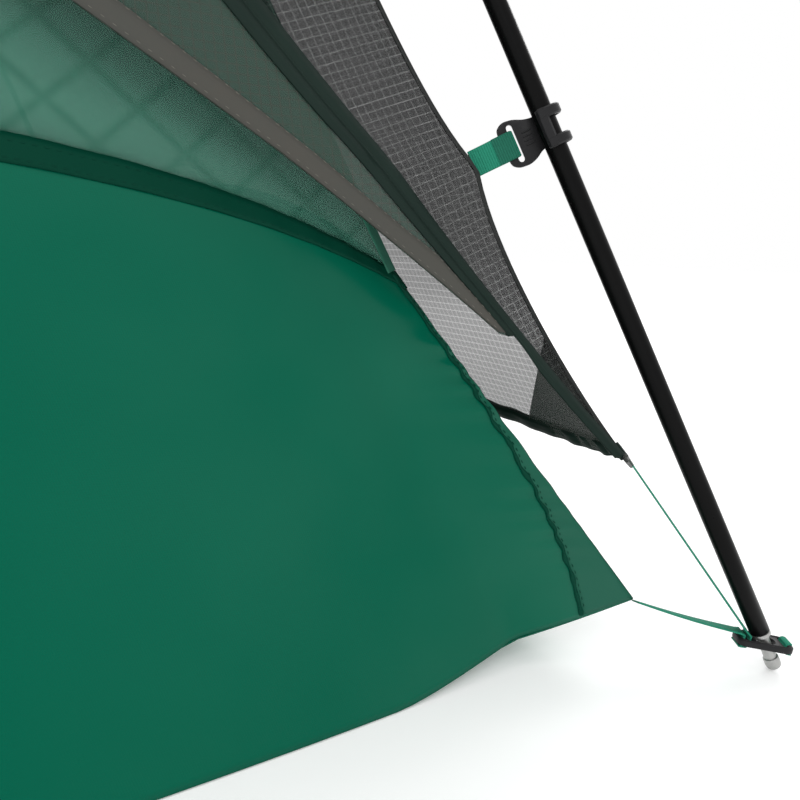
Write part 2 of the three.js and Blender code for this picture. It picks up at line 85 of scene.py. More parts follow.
DIAGONAL = math.atan2(HALF_WIDTH, HALF_LENGTH)
HALF_DIAGONAL = math.hypot(HALF_LENGTH, HALF_WIDTH)
BEND = (HALF_DIAGONAL - STRAIGHT * math.sin(LEAN)) / math.cos(LEAN)
ARC_CENTRE_UP = STRAIGHT * math.cos(LEAN) - BEND * math.sin(LEAN)
ARC_ANGLE = math.pi / 2 - LEAN
LEG_LENGTH = STRAIGHT + BEND * ARC_ANGLE
TOP_STOP = LEG_LENGTH - 6 * MM
CLIP_AT = {
    "low": LOW_CLIP_AT.z / LOW_CLIP_AXIS.z,
    "high": STRAIGHT + 4.5 * (LEG_LENGTH - STRAIGHT) / 12,
}
CORNERS = {
    "front_right": (1, -1),
    "back_right": (1, 1),
    "back_left": (-1, 1),
    "front_left": (-1, -1),
}

# ---- Fly, inner tent and bathtub, as they were cut ----

FLY_CORNER = 131 * MM
FLY_DROP = 47 * MM
CLIP_PULL = 8 * MM
CLIP_REACH = 28 * MM
TAPE_PULL = 21 * MM
TAPE_REACH = 90 * MM
HIP_REACH = 60 * MM
DOOR_CORNER = 1050 * MM
ZIP_RISE = 1145 * MM
HEM_RISE = 517 * MM
END_HEM_RISE = 120 * MM
INNER_DROP = 88.4 * MM
TUB_CORNER_HEIGHT = 186 * MM
TUB_SWELL = 58 * MM
TUB_SWELL_REACH = 105 * MM
TUB_TOP = (957 * MM, 641 * MM)
TUB_BASE = (1059 * MM, 709.2 * MM)
CORNER_LIFT = 33 * MM
LIFT_REACH = 122 * MM
DOOR_HALF = 380 * MM
DOOR_SIDE = 430 * MM
DOOR_ARCH = 140 * MM
PLATE_AT = 16.4 * MM
PLATE_TILT = math.radians(8)
SEAM_GAP = 0.5 * MM


def leg_at(along, depth):
    """How far in along the diagonal, how high, and the pole's slope there."""
    if along <= STRAIGHT:
        inward = along * math.sin(LEAN) + depth * math.cos(LEAN)
        return inward, along * math.cos(LEAN) - depth * math.sin(LEAN), ARC_ANGLE
    slope = ARC_ANGLE - (along - STRAIGHT) / BEND
    inward = HALF_DIAGONAL - (BEND - depth) * math.sin(slope)
    return inward, ARC_CENTRE_UP + (BEND - depth) * math.cos(slope), slope


def fly_depth(along, from_hip):
    resting = FLY_DROP - TAPE_PULL * math.exp((FLY_CORNER - along) / TAPE_REACH)
    pull = sum(CLIP_PULL * math.exp(-abs(along - at) / CLIP_REACH) for at in CLIP_AT.values())
    return resting - pull * math.exp(-from_hip / HIP_REACH)


def hip_half(along, depth):
    inward = leg_at(along, depth)[0]
    return HALF_LENGTH - inward * math.cos(DIAGONAL), HALF_WIDTH - inward * math.sin(DIAGONAL)


def side_face(sy, x, along, depth):
    inward, height, _ = leg_at(along, depth)
    return Vector((x, sy * (HALF_WIDTH - inward * math.sin(DIAGONAL)), height))


def end_face(sx, y, along, depth):
    inward, height, _ = leg_at(along, depth)
    return Vector((sx * (HALF_LENGTH - inward * math.cos(DIAGONAL)), y, height))


def mix(a, b, t):
    return a + (b - a) * t


def clamped(value):
    return min(max(value, 0.0), 1.0)


def arch(turn, power):
    return math.copysign(abs(math.cos(turn)) ** (2 / power), math.cos(turn))


def zip_arch(turn):
    return DOOR_CORNER * arch(turn, 1.3), FLY_CORNER + ZIP_RISE * math.sin(turn) ** 2


def hem_arch(turn):
    return DOOR_CORNER * arch(turn, 1.62), FLY_CORNER + HEM_RISE * math.sin(turn) ** (2 / 1.2)


def hip_at(turn):
    along = FLY_CORNER + (TOP_STOP - FLY_CORNER) * math.sin(turn) ** 2
    half = hip_half(along, fly_depth(along, 0))[0] - SEAM_GAP
    return math.copysign(half, math.cos(turn)), along


def shrunk(point, amount):
    reach = max(math.hypot(point[0], point[1] - FLY_CORNER), 1e-6)
    keep = max(1 - amount / reach, 0.0)
    return point[0] * keep, FLY_CORNER + (point[1] - FLY_CORNER) * keep


def fly_face(sy, x, along):
    from_hip = max(hip_half(along, fly_depth(along, 0))[0] - abs(x), 0)
    return side_face(sy, x, along, fly_depth(along, from_hip))


def end_hem(side):
    return FLY_CORNER + END_HEM_RISE * (0.5 + 0.5 * math.cos(math.pi * side))


def tub_edge(from_corner):
    height = TUB_CORNER_HEIGHT + TUB_SWELL * (1 - math.exp(-from_corner / TUB_SWELL_REACH))
    return (height + INNER_DROP * math.sin(LEAN)) / math.cos(LEAN)


def base_inset(from_corner, at_corner, dip):
    drawn_in = dip * min(from_corner / (55 * MM), 1)
    eased = 0.6 * dip * (1 - math.exp(-max(from_corner - 55 * MM, 0) / (120 * MM)))
    return at_corner + drawn_in - eased


def corner_lift(distance):
    return CORNER_LIFT * max(1 - distance / LIFT_REACH, 0) ** 1.35


def side_edge(x):
    return HALF_WIDTH - base_inset(TUB_BASE[0] - abs(x), HALF_WIDTH - TUB_BASE[1], 23.5 * MM)


def end_edge(y):
    return HALF_LENGTH - base_inset(TUB_BASE[1] - abs(y), HALF_LENGTH - TUB_BASE[0], 20 * MM)


def bunched(t):
    return 0.5 - 0.5 * math.cos(math.pi * t)


def leg_frame(corner):
    """A frame at a foot whose X runs to the middle of the floor and Z up."""
    sx, sy = CORNERS[corner]
    inward = Vector((-sx * HALF_LENGTH, -sy * HALF_WIDTH, 0)).normalized()
    across = Vector((0, 0, 1)).cross(inward)
    return basis(inward, across, Vector((0, 0, 1)), (sx * HALF_LENGTH, sy * HALF_WIDTH, 0))


def basis(x, y, z, at):
    turned = Matrix((x, y, z)).transposed().to_4x4()
    return Matrix.Translation(at) @ turned


def pole_frame(along, depth=0.0):
    """In a leg's frame: X to the side, Y away from the cloth and Z up along the pole."""
    inward, height, slope = leg_at(along, depth)
    up = Vector((math.cos(slope), 0, math.sin(slope)))
    side = Vector((0, 1, 0))
    return basis(side, up.cross(side), up, (inward, 0, height))


def clip_frame(along):
    """In a leg's frame: X from the pole to the cloth, Y up along it, Z to the side."""
    inward, height, slope = leg_at(along, 0)
    out = Vector((math.sin(slope), 0, -math.cos(slope)))
    up = Vector((math.cos(slope), 0, math.sin(slope)))
    return basis(out, up, out.cross(up), (inward, 0, height))


def plate_frame():
    inward, height, _ = leg_at(PLATE_AT, 0)
    x = Vector((math.cos(PLATE_TILT), 0, math.sin(PLATE_TILT)))
    return basis(x, Vector((0, 1, 0)), x.cross(Vector((0, 1, 0))), (inward, 0, height))


# ---- Making meshes ----


def finished(mesh, name, material, body, replaced=(), smooth_under=40.0):
    """Turns a bmesh into a piece that rides on a body."""
    for face in mesh.faces:
        face.smooth = True
    limit = math.radians(smooth_under)
    for edge in mesh.edges:
        if len(edge.link_faces) == 2 and edge.calc_face_angle() > limit:
            edge.smooth = False
    data = bpy.data.meshes.new(name)
    mesh.to_mesh(data)
    mesh.free()
    data.materials.append(material)
    piece = bpy.data.objects.new(name, data)
    bpy.context.scene.collection.objects.link(piece)
    if body:
        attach(piece, body)
    if replaced:
        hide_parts(*replaced)
    return piece


def laid(surface, columns, rows, cut):
    """A grid laid on a surface of u and v, with the cut's metres as its UV map."""
    mesh = bmesh.new()
    uvs = mesh.loops.layers.uv.new("cut")
    bmesh.ops.create_grid(mesh, x_segments=columns, y_segments=rows, size=0.5, calc_uvs=True)
    for vert in mesh.verts:
        u, v = vert.co.x + 0.5, vert.co.y + 0.5
        vert.co = surface(u, v)
        for loop in vert.link_loops:
            loop[uvs].uv = cut(u, v)
    return mesh


def walled(piece, wall):
    thick = piece.modifiers.new("cloth", "SOLIDIFY")
    thick.thickness = wall
    thick.offset = 0
    return piece


def swept(mesh, ring, frames, capped=True):
    """Sweeps a ring of points, given in each frame's X and Y, through a row of frames."""
    along = mesh.verts.layers.float.get("along") or mesh.verts.layers.float.new("along")
    verts = [mesh.verts.new(frames[0] @ Vector((x, y, 0))) for x, y in ring]
    edges = [mesh.edges.new((a, b)) for a, b in zip(verts, verts[1:] + verts[:1])]
    if capped:
        bmesh.ops.contextual_create(mesh, geom=edges)
    travelled = 0.0
    for before, after in zip(frames, frames[1:]):
        grown = bmesh.ops.extrude_edge_only(mesh, edges=edges)["geom"]
        verts = [g for g in grown if isinstance(g, bmesh.types.BMVert)]
        new = set(verts)
        edges = [
            g for g in grown
            if isinstance(g, bmesh.types.BMEdge) and g.verts[0] in new and g.verts[1] in new
        ]
        bmesh.ops.transform(mesh, matrix=after @ before.inverted(), verts=verts)
        travelled += (after.translation - before.translation).length
        for vert in verts:
            vert[along] = travelled
    if capped:
        bmesh.ops.contextual_create(mesh, geom=edges)
    bmesh.ops.recalc_face_normals(mesh, faces=mesh.faces)
    return mesh


def along_path(points, across, scales=None):
    """Frames along a path: X is across, Y is the other way square to the path."""
    frames = []
    for i, point in enumerate(points):
        before, after = points[max(i - 1, 0)], points[min(i + 1, len(points) - 1)]
        travel = (after - before).normalized()
        wide = across if isinstance(across, Vector) else across[i]
        side = (wide - travel * wide.dot(travel)).normalized()
        turned = basis(side, travel.cross(side), travel, point)
        scale = scales[i] if scales else 1.0
        frames.append(turned @ Matrix.Diagonal((scale, 1, 1, 1)))
    return frames


def box_ring(width, thick, round_off=0.3):
    """A flat section with eased corners."""
    x, y = width / 2, thick / 2
    r = min(thick, width) * round_off
    return [
        (x - r, -y), (x, -y + r), (x, y - r), (x - r, y),
        (-x + r, y), (-x, y - r), (-x, -y + r), (-x + r, -y),
    ]


def ridge_ring(half, low, under, edge, top):
    """The section of a tape that is folded over a hip."""
    crest = 0.4 * MM
    return [
        (-half, low), (0, under), (half, low), (half, edge), (crest, top), (-crest, top),
        (-half, edge),
    ]


def circle_ring(radius, sides):
    turns = [2 * math.pi * i / sides for i in range(sides)]
    return [(radius * math.cos(t), radius * math.sin(t)) for t in turns]


def moved(mesh, place):
    bmesh.ops.transform(mesh, matrix=place, verts=mesh.verts)


def eased_box(length, width, height):
    mesh = bmesh.new()
    bmesh.ops.create_cube(mesh, size=1)
    bmesh.ops.scale(mesh, vec=(length, width, height), verts=mesh.verts)
    bmesh.ops.bevel(
        mesh, geom=list(mesh.edges), offset=0.8 * MM, segments=3, affect="EDGES",
        profile=0.5, material=-1,
    )
    return mesh


def in_plane(points):
    """Millimetres across and up, as points in a frame's X and Z."""
    return [Vector((x * MM, 0, z * MM)) for x, z in points]


def turned_shape(outline, steps, place):
    """Spins an outline of radii and heights round the Z axis of a frame."""
    mesh = bmesh.new()
    verts = [mesh.verts.new((radius, 0, height)) for radius, height in outline]
    edges = [mesh.edges.new(pair) for pair in zip(verts, verts[1:])]
    bmesh.ops.spin(
        mesh, geom=verts + edges, axis=(0, 0, 1), cent=(0, 0, 0), dvec=(0, 0, 0),
        angle=2 * math.pi, steps=steps, use_merge=True,
    )
    bmesh.ops.remove_doubles(mesh, verts=mesh.verts, dist=0.01 * MM)
    bmesh.ops.recalc_face_normals(mesh, faces=mesh.faces)
    moved(mesh, place)
    return mesh


def rounded_path(points, radius, steps=4):
    """A closed outline with every corner rounded."""
    path = []
    count = len(points)
    for i, point in enumerate(points):
        here = Vector(point)
        before, after = Vector(points[i - 1]), Vector(points[(i + 1) % count])
        ease = min(radius, (before - here).length * 0.45, (after - here).length * 0.45)
        start = here + (before - here).normalized() * ease
        end = here + (after - here).normalized() * ease
        for step in range(steps + 1):
            t = step / steps
            path.append(start.lerp(here, t).lerp(here.lerp(end, t), t))
    return path


def slot_path(x, length, width, steps=6):
    reach = length / 2 - width / 2
    turns = [math.pi * i / steps for i in range(steps + 1)]
    upper = [Vector((x + width / 2 * math.cos(t), reach + width / 2 * math.sin(t))) for t in turns]
    lower = [Vector((x - width / 2 * math.cos(t), -reach - width / 2 * math.sin(t))) for t in turns]
    return upper + lower


def flat_plate(mesh, outlines, low, high, ease, reshape=None):
    """A flat plate with holes, from its outlines, with eased edges."""
    edges = []
    for outline in outlines:
        verts = [mesh.verts.new((point[0], point[1], low)) for point in outline]
        edges += [mesh.edges.new((a, b)) for a, b in zip(verts, verts[1:] + verts[:1])]
    filled = bmesh.ops.triangle_fill(mesh, use_beauty=True, use_dissolve=False, edges=edges)
    faces = [g for g in filled["geom"] if isinstance(g, bmesh.types.BMFace)]
    grown = bmesh.ops.extrude_face_region(mesh, geom=faces)["geom"]
    top = [g for g in grown if isinstance(g, bmesh.types.BMVert)]
    bmesh.ops.translate(mesh, vec=(0, 0, high - low), verts=top)
    if reshape:
        reshape(mesh)
    bmesh.ops.recalc_face_normals(mesh, faces=mesh.faces)
    rims = [e for e in mesh.edges if len(e.link_faces) == 2 and e.calc_face_angle() > 0.9]
    bmesh.ops.bevel(
        mesh, geom=rims, offset=ease, segments=2, affect="EDGES", profile=0.5, material=-1,
        clamp_overlap=True,
    )
    return mesh


def joined(mesh, other):
    """Moves another bmesh's faces into a mesh."""
    data = bpy.data.meshes.new("part")
    other.to_mesh(data)
    other.free()
    mesh.from_mesh(data)
    bpy.data.meshes.remove(data)
    return mesh


def stitch_row(mesh, points, normals, pitch, length, thick):
    """Small raised stitches along a path."""
    left = pitch / 2
    for i, (a, b) in enumerate(zip(points, points[1:])):
        span = (b - a).length
        if span < 1e-7:
            continue
        travel = (b - a) / span
        out = (normals[i] - travel * normals[i].dot(travel)).normalized()
        while left <= span:
            place = basis(travel, out.cross(travel), out, a + travel * left)
            shape = place @ Matrix.Diagonal((length / 2, thick / 2, thick / 2, 1))
            bmesh.ops.create_icosphere(mesh, subdivisions=1, radius=1, matrix=shape)
            left += pitch
        left -= span
    return mesh


# ---- Finishes ----


class Amount:
    """A number in a material, on which arithmetic adds Math nodes."""

    def __init__(self, finish, socket):
        self.finish = finish
        self.socket = socket

    def __add__(self, other):
        return self.finish.math("ADD", self, other)

    def __radd__(self, other):
        return self.finish.math("ADD", other, self)

    def __sub__(self, other):
        return self.finish.math("SUBTRACT", self, other)

    def __rsub__(self, other):
        return self.finish.math("SUBTRACT", other, self)

    def __mul__(self, other):
        return self.finish.math("MULTIPLY", self, other)

    def wave(self, half):
        return self.finish.math("PINGPONG", self, half)

    def larger(self, other):
        return self.finish.math("MAXIMUM", self, other)


class Finish:
    """A procedural material round one Principled shader."""

    def __init__(self, name, **constants):
        self.material = bpy.data.materials.new(name)
        self.material.use_nodes = True
        self.tree = self.material.node_tree
        self.shader = self.tree.nodes["Principled BSDF"]
        for socket, value in constants.items():
            self.shader.inputs[socket.replace("_", " ")].default_value = value

    def node(self, kind, settings=None, inputs=None):
        made = self.tree.nodes.new(kind)
        for key, value in (settings or {}).items():
            setattr(made, key, value)
        for key, value in (inputs or {}).items():
            self.feed(made.inputs[key], value)
        return made

    def feed(self, socket, value):
        if isinstance(value, Amount):
            value = value.socket
        if isinstance(value, bpy.types.NodeSocket):
            self.tree.links.new(value, socket)
        else:
            socket.default_value = value

    def math(self, operation, a, b):
        made = self.node("ShaderNodeMath", {"operation": operation}, {0: a, 1: b})
        return Amount(self, made.outputs[0])

    def place(self):
        return self.node("ShaderNodeTexCoord").outputs["Object"]

    def cut(self):
        """Across and along a cloth panel, in metres."""
        uv = self.node("ShaderNodeUVMap", {"uv_map": "cut"}).outputs["UV"]
        parts = self.node("ShaderNodeSeparateXYZ", None, {0: uv})
        return Amount(self, parts.outputs[0]), Amount(self, parts.outputs[1])

    def along(self):
        made = self.node("ShaderNodeAttribute", {"attribute_name": "along"})
        return Amount(self, made.outputs["Fac"])

    def clouds(self, scale, detail=2.0, roughness=0.5):
        made = self.node(
            "ShaderNodeTexNoise", None,
            {"Vector": self.place(), "Scale": scale, "Detail": detail, "Roughness": roughness},
        )
        return Amount(self, made.outputs["Fac"])

    def blended(self, share, a, b):
        made = self.node("ShaderNodeMix", {"data_type": "RGBA"}, {"Factor": share})
        self.feed(made.inputs[6], rgba(a))
        self.feed(made.inputs[7], rgba(b))
        return made.outputs[2]

    def bumped(self, height, distance, strength=1.0):
        made = self.node(
            "ShaderNodeBump", None,
            {"Height": height, "Distance": distance, "Strength": strength},
        )
        self.feed(self.shader.inputs["Normal"], made.outputs["Normal"])

    def set(self, socket, value):
        self.feed(self.shader.inputs[socket], value)


def rgba(value):
    return (*tuple(value)[:3], 1.0)


def see_through(share):
    """The alpha of each face of a two-faced cloth that lets a share of light through."""
    return 1 - math.sqrt(share)


def ripstop_cloth(name, colour, thread, passing, passing_thread, pitch, line=0.08, roughness=0.6):
    """Thin translucent cloth with a square grid of lines: the fly's strong threads, and on the inner
    tent painted shadow lines.
    """
    finish = Finish(name, Roughness=roughness, Specular_IOR_Level=0.06)
    across, up = finish.cut()
    half = pitch / 2
    sharp = 1 / (pitch * line)
    grid = (1 - across.wave(half) * sharp).larger(1 - up.wave(half) * sharp).larger(0.0)
    mottle = finish.clouds(18.0, 3.0) - 0.5
    plain = see_through(passing) + mottle * 0.04
    finish.set("Alpha", plain + grid * (see_through(passing_thread) - see_through(passing)))
    finish.set("Base Color", finish.blended(grid, colour, thread))
    finish.set("Roughness", roughness + mottle * 0.1)
    finish.bumped(grid, 0.1 * MM, 0.5)
    return finish.material


def coated_cloth(name, colour, deep, roughness=0.3, level=0.03, coat=0.05, calm_half=0.78):
    """Coated cloth with soft creases, a faint weave and a haze drawn to its corners."""
    finish = Finish(name, Specular_IOR_Level=level, Coat_Roughness=0.22, Coat_IOR=1.35)
    soft = finish.clouds(7.0, 3.0)
    fine = finish.clouds(60.0, 4.0, 0.6)
    across, up = finish.cut()
    near = ((across.wave(9.0) - calm_half) * 3.6).larger(0.0)
    finish.set("Base Color", finish.blended(soft, deep, colour))
    finish.set("Roughness", roughness + (fine - 0.5) * 0.12)
    finish.set("Coat Weight", soft * coat + near * (soft * 1.6 - 0.25).larger(0.05))
    weave = across.wave(0.5 * MM) + up.wave(0.5 * MM)
    finish.bumped(fine * 0.8 + weave * 100.0, 0.5 * MM, 0.3)
    return finish.material


def ribbed_webbing(name, colour, light, rib):
    finish = Finish(name, Specular_IOR_Level=0.1)
    along = finish.along()
    ribs = along.wave(rib / 2) * (2 / rib)
    fuzz = finish.clouds(900.0, 2.0)
    finish.set("Base Color", finish.blended(ribs * 0.6 + fuzz * 0.4, colour, light))
    finish.set("Roughness", 0.72 + (fuzz - 0.5) * 0.2)
    finish.bumped(ribs + fuzz * 0.4, 0.18 * MM, 0.8)
    return finish.material


def plain_finish(name, colour, worn, roughness, metallic=0.0, grain=260.0, level=0.5):
    """Moulded or metal finish with fine grain and slight wear."""
    finish = Finish(name, Metallic=metallic, Specular_IOR_Level=level)
    grainy = finish.clouds(grain, 4.0, 0.6)
    broad = finish.clouds(22.0, 2.0)
    finish.set("Base Color", finish.blended(broad * 0.7 + grainy * 0.3, colour, worn))
    finish.set("Roughness", roughness + (grainy - 0.5) * 0.14)
    finish.bumped(grainy, 0.06 * MM, 0.35)
    return finish.material


# ---- Settings ----


def length_property(name, description, default):
    return bpy.props.FloatProperty(
        name=name, description=description, default=default, unit="LENGTH", precision=4,
    )


def colour_property(name, description, default):
    return bpy.props.FloatVectorProperty(
        name=name, description=description, default=default, subtype="COLOR", min=0, max=1,
    )


class ShelterSizes(bpy.types.PropertyGroup):
    cloth: length_property("Fly cloth", "Thickness of the fly and the inner tent", 0.0004)
    tub_cloth: length_property("Floor cloth", "Thickness of the coated bathtub", 0.0008)
    fly_grid: length_property("Fly grid", "Spacing of the fly's strong threads", 0.004)
    # The inner grid spaces painted shadow lines: shadows on the inner tent, drawn as a diagonal grid.
    inner_shadow_grid: length_property("Inner grid", "Spacing of the inner tent's threads", 0.024)
    webbing: length_property("Webbing width", "Width of the clip straps", 0.012)
    tape: length_property("Tape width", "Width of the corner tapes", 0.0095)
    hip_seam: length_property("Hip seam", "Width of the tape over the fly's hips", 0.0024)
    zip_band: length_property("Zip band", "Width of the zip along the door", 0.014)
    binding: length_property("Bathtub binding", "Width of the band on the bathtub's rim", 0.0105)
    stitch: length_property("Stitch pitch", "Distance between stitches", 0.0035)


class ShelterColours(bpy.types.PropertyGroup):
    fly: colour_property("Fly", "Grey fly cloth", (0.012, 0.013, 0.013))
    fly_thread: colour_property("Fly thread", "Strong threads of the fly", (0.075, 0.080, 0.075))
    # The door's colour is the fly cloth made lighter and greener: painted reflected light, the inner
    # tent's green bounced onto its underside.
    door: colour_property("Door", "Grey-green fly door", (0.048, 0.082, 0.066))
    zip_band: colour_property("Zip band", "Dark zip tape", (0.006, 0.014, 0.011))
    hem: colour_property("Hem", "Brownish binding of the door's hem", (0.075, 0.068, 0.058))
    patch: colour_property("Patch", "Reinforced fly corner", (0.062, 0.068, 0.062))
    inner: colour_property("Inner tent", "Green inner cloth", (0.085, 0.262, 0.192))
    # The colour of the inner seam tapes, and of the painted shadow lines on the inner cloth.
    inner_seam_and_shadow_line: colour_property("Inner thread", "Its darker threads", (0.052, 0.205, 0.142))
    tub: colour_property("Bathtub", "Green coated floor cloth", (0.0, 0.112, 0.064))
    tub_deep: colour_property("Bathtub folds", "Its darker places", (0.0, 0.092, 0.052))
    # The binding's green, darker than the bathtub's, is painted shade of the folded, doubled rim.
    binding: colour_property("Binding", "Dark green bathtub binding", (0.0, 0.036, 0.020))
    # The strip is the end wall's cloth; its grey cast is painted sheen, the light it catches where it
    # turns round the corner.
    strip: colour_property("Corner strip", "Grey-green corner seam strip", (0.012, 0.090, 0.058))
    webbing: colour_property("Webbing", "Green webbing", (0.009, 0.155, 0.092))
    webbing_light: colour_property("Webbing ribs", "Lighter ribs of it", (0.030, 0.270, 0.175))
    tube: colour_property("Poles", "Black anodised tube", (0.002, 0.002, 0.0022))
    plastic: colour_property("Fittings", "Black moulded plastic", (0.008, 0.008, 0.009))
    metal: colour_property("Tips", "Bare metal tips", (0.50, 0.50, 0.49))
    floor: colour_property("Ground", "Pale studio floor", (0.95, 0.95, 0.95))


def settings():
    scene = bpy.context.scene
    return scene.shelter_sizes, scene.shelter_colours


WEBBING_RIB = 1.1 * MM


def finish_for(name):
    """Each finish is made once, the first time that a piece asks for it."""
    title = "shelter_" + name
    if title in bpy.data.materials:
        return bpy.data.materials[title]
    sizes, hues = settings()
    grid = sizes.fly_grid
    table = {
        "fly": (ripstop_cloth, hues.fly, hues.fly_thread, 0.23, 0.48, grid),
        # The door is the fly cloth in a lighter, greener colour: painted green light reflected from the
        # inner tent.
        "door": (ripstop_cloth, hues.door, hues.hem, 0.07, 0.08, grid),
        # The inner cloth's darker grid lines are painted shadow lines, set diagonal by its cut.
        "inner": (
            ripstop_cloth, hues.inner, hues.inner_seam_and_shadow_line, 0.24, 0.20, sizes.inner_shadow_grid, 0.13, 0.75,
        ),
        "patch": (ripstop_cloth, hues.patch, hues.fly_thread, 0.05, 0.10, grid),
        "zip_band": (plain_finish, hues.zip_band, (0.014, 0.028, 0.022), 0.6, 0.0, 300, 0.1),
        "hem": (plain_finish, hues.hem, hues.patch, 0.7, 0.0, 200, 0.1),
        "inner_seam": (plain_finish, hues.inner_seam_and_shadow_line, (0.02, 0.11, 0.07), 0.8, 0.0, 200, 0.1),
        "thread": (plain_finish, (0.17, 0.16, 0.14), (0.12, 0.12, 0.10), 0.8, 0.0, 900, 0.1),
        "dark_thread": (plain_finish, (0.04, 0.042, 0.04), hues.fly, 0.8, 0.0, 500, 0.1),
        "tub_thread": (plain_finish, (0.0, 0.05, 0.03), hues.binding, 0.7, 0.0, 500, 0.1),
        "tub": (coated_cloth, hues.tub, hues.tub_deep),
        # The binding's dark green is painted shade of the folded rim.
        "binding": (coated_cloth, hues.binding, (0.0, 0.045, 0.026), 0.5, 0.06, 0.0, 9.0),
        # The strip's grey-green is painted sheen on the bathtub cloth.
        "strip": (coated_cloth, hues.strip, hues.tub_deep, 0.4, 0.15, 0.3, 9.0),
        "webbing": (ribbed_webbing, hues.webbing, hues.webbing_light, WEBBING_RIB),
        # A darker copy of the webbing: painted shade on the strap near the clip's slot.
        "webbing_ply": (ribbed_webbing, (0.010, 0.090, 0.058), (0.022, 0.160, 0.105), WEBBING_RIB),
        "tube": (plain_finish, hues.tube, (0.004, 0.004, 0.004), 0.3, 0.0, 500, 0.08),
        "plastic": (plain_finish, hues.plastic, (0.014, 0.014, 0.015), 0.42, 0.0, 900, 0.2),
        "metal": (plain_finish, hues.metal, (0.30, 0.30, 0.29), 0.38, 0.85, 700),
    }
    make, *values = table[name]
    return make(title, *values)


# ---- Poles and fittings ----

TUBE_FOOT = 22.9 * MM
TIP_FOOT = 1.35 * MM


def make_tube(corner, name, start, end, steps, replaced):
    stations = [start + (end - start) * i / steps for i in range(steps + 1)]
    lip = 0.35 * MM
    stations[1:1] = [start + lip]
    stations[-1:-1] = [end - lip]
    place = leg_frame(corner)
    frames = []
    for i, along in enumerate(stations):
        narrow = 0.94 if i in (0, len(stations) - 1) else 1.0
        frames.append(place @ pole_frame(along) @ Matrix.Diagonal((narrow, narrow, 1, 1)))
    mesh = swept(bmesh.new(), circle_ring(POLE_RADIUS, 32), frames)
    finished(mesh, name + corner, finish_for("tube"), "root", replaced)


def make_tip(corner):
    outline = [
        (0, 0), (1.4, 0.12), (2.4, 0.6), (3.2, 1.3), (3.62, 2.2), (3.7, 3.2), (3.7, 6.3),
        (3.58, 6.62), (3.2, 6.8), (2.98, 7.0), (2.95, 7.4), (2.95, 19.3), (3.2, 19.45),
        (4.45, 19.45), (4.72, 19.6), (4.75, 19.8), (4.75, 20.95), (4.62, 21.2), (4.3, 21.25),
        (3.85, 21.3), (3.85, 42.5), (0, 42.5),
    ]
    points = [(r * MM, h * MM + TIP_FOOT) for r, h in outline]
    mesh = turned_shape(points, 36, leg_frame(corner) @ pole_frame(0))
    name = "tip_" + corner
    finished(mesh, name, finish_for("metal"), "root", ["pole_tip_" + corner])


def make_hub():
    top = ARC_CENTRE_UP + BEND
    disc = [
        (0, -9), (15.5, -9), (17.6, -8.4), (19.4, -6.6), (20, -4.6), (20, 4.6), (19.4, 6.6),
        (17.6, 8.4), (15.5, 9), (13.2, 9), (12.6, 8.4), (6, 8.2), (5.2, 9), (0, 9),
    ]
    sleeve = [
        (6.7, 16), (6.7, 37.2), (7.0, 37.8), (8.3, 37.9), (8.7, 37.4), (8.8, 36.6), (8.8, 31),
        (8.35, 30.4), (8.35, 29.2), (8.8, 28.6), (8.8, 6), (6.7, 6), (6.7, 16),
    ]
    place = Matrix.Translation((0, 0, top))
    mesh = turned_shape([(r * MM, h * MM) for r, h in disc], 48, place)
    for sx, sy in CORNERS.values():
        out = Vector((sx * HALF_LENGTH, sy * HALF_WIDTH, 0)).normalized()
        side = Vector((0, 0, 1)).cross(out)
        turned = place @ basis(Vector((0, 0, 1)), side * -1, out, (0, 0, 0))
        joined(mesh, turned_shape([(r * MM, h * MM) for r, h in sleeve], 28, turned))
    bmesh.ops.recalc_face_normals(mesh, faces=mesh.faces)
    finished(mesh, "hub", finish_for("plastic"), "root", ["pole_hub"])


class ShelterPoles(bpy.types.Operator):
    """Four poles with turned tips that meet in the hub"""

    bl_idname = "shelter.poles"
    bl_label = "Poles"

    def execute(self, context):
        for corner in CORNERS:
            lower = ["pole_lower_" + corner]
            make_tube(corner, "tube_low_", TUBE_FOOT, STRAIGHT - JOINT_GAP, 8, lower)
            upper = ["pole_upper_" + corner]
            make_tube(corner, "tube_high_", STRAIGHT + JOINT_GAP, LEG_LENGTH - 17 * MM, 90, upper)
            make_tip(corner)
        make_hub()
        return {"FINISHED"}


def ellipse_path(x, half_x, half_y, sides=36):
    turns = [2 * math.pi * i / sides for i in range(sides)]
    return [Vector((x + half_x * math.cos(t), half_y * math.sin(t))) for t in turns]


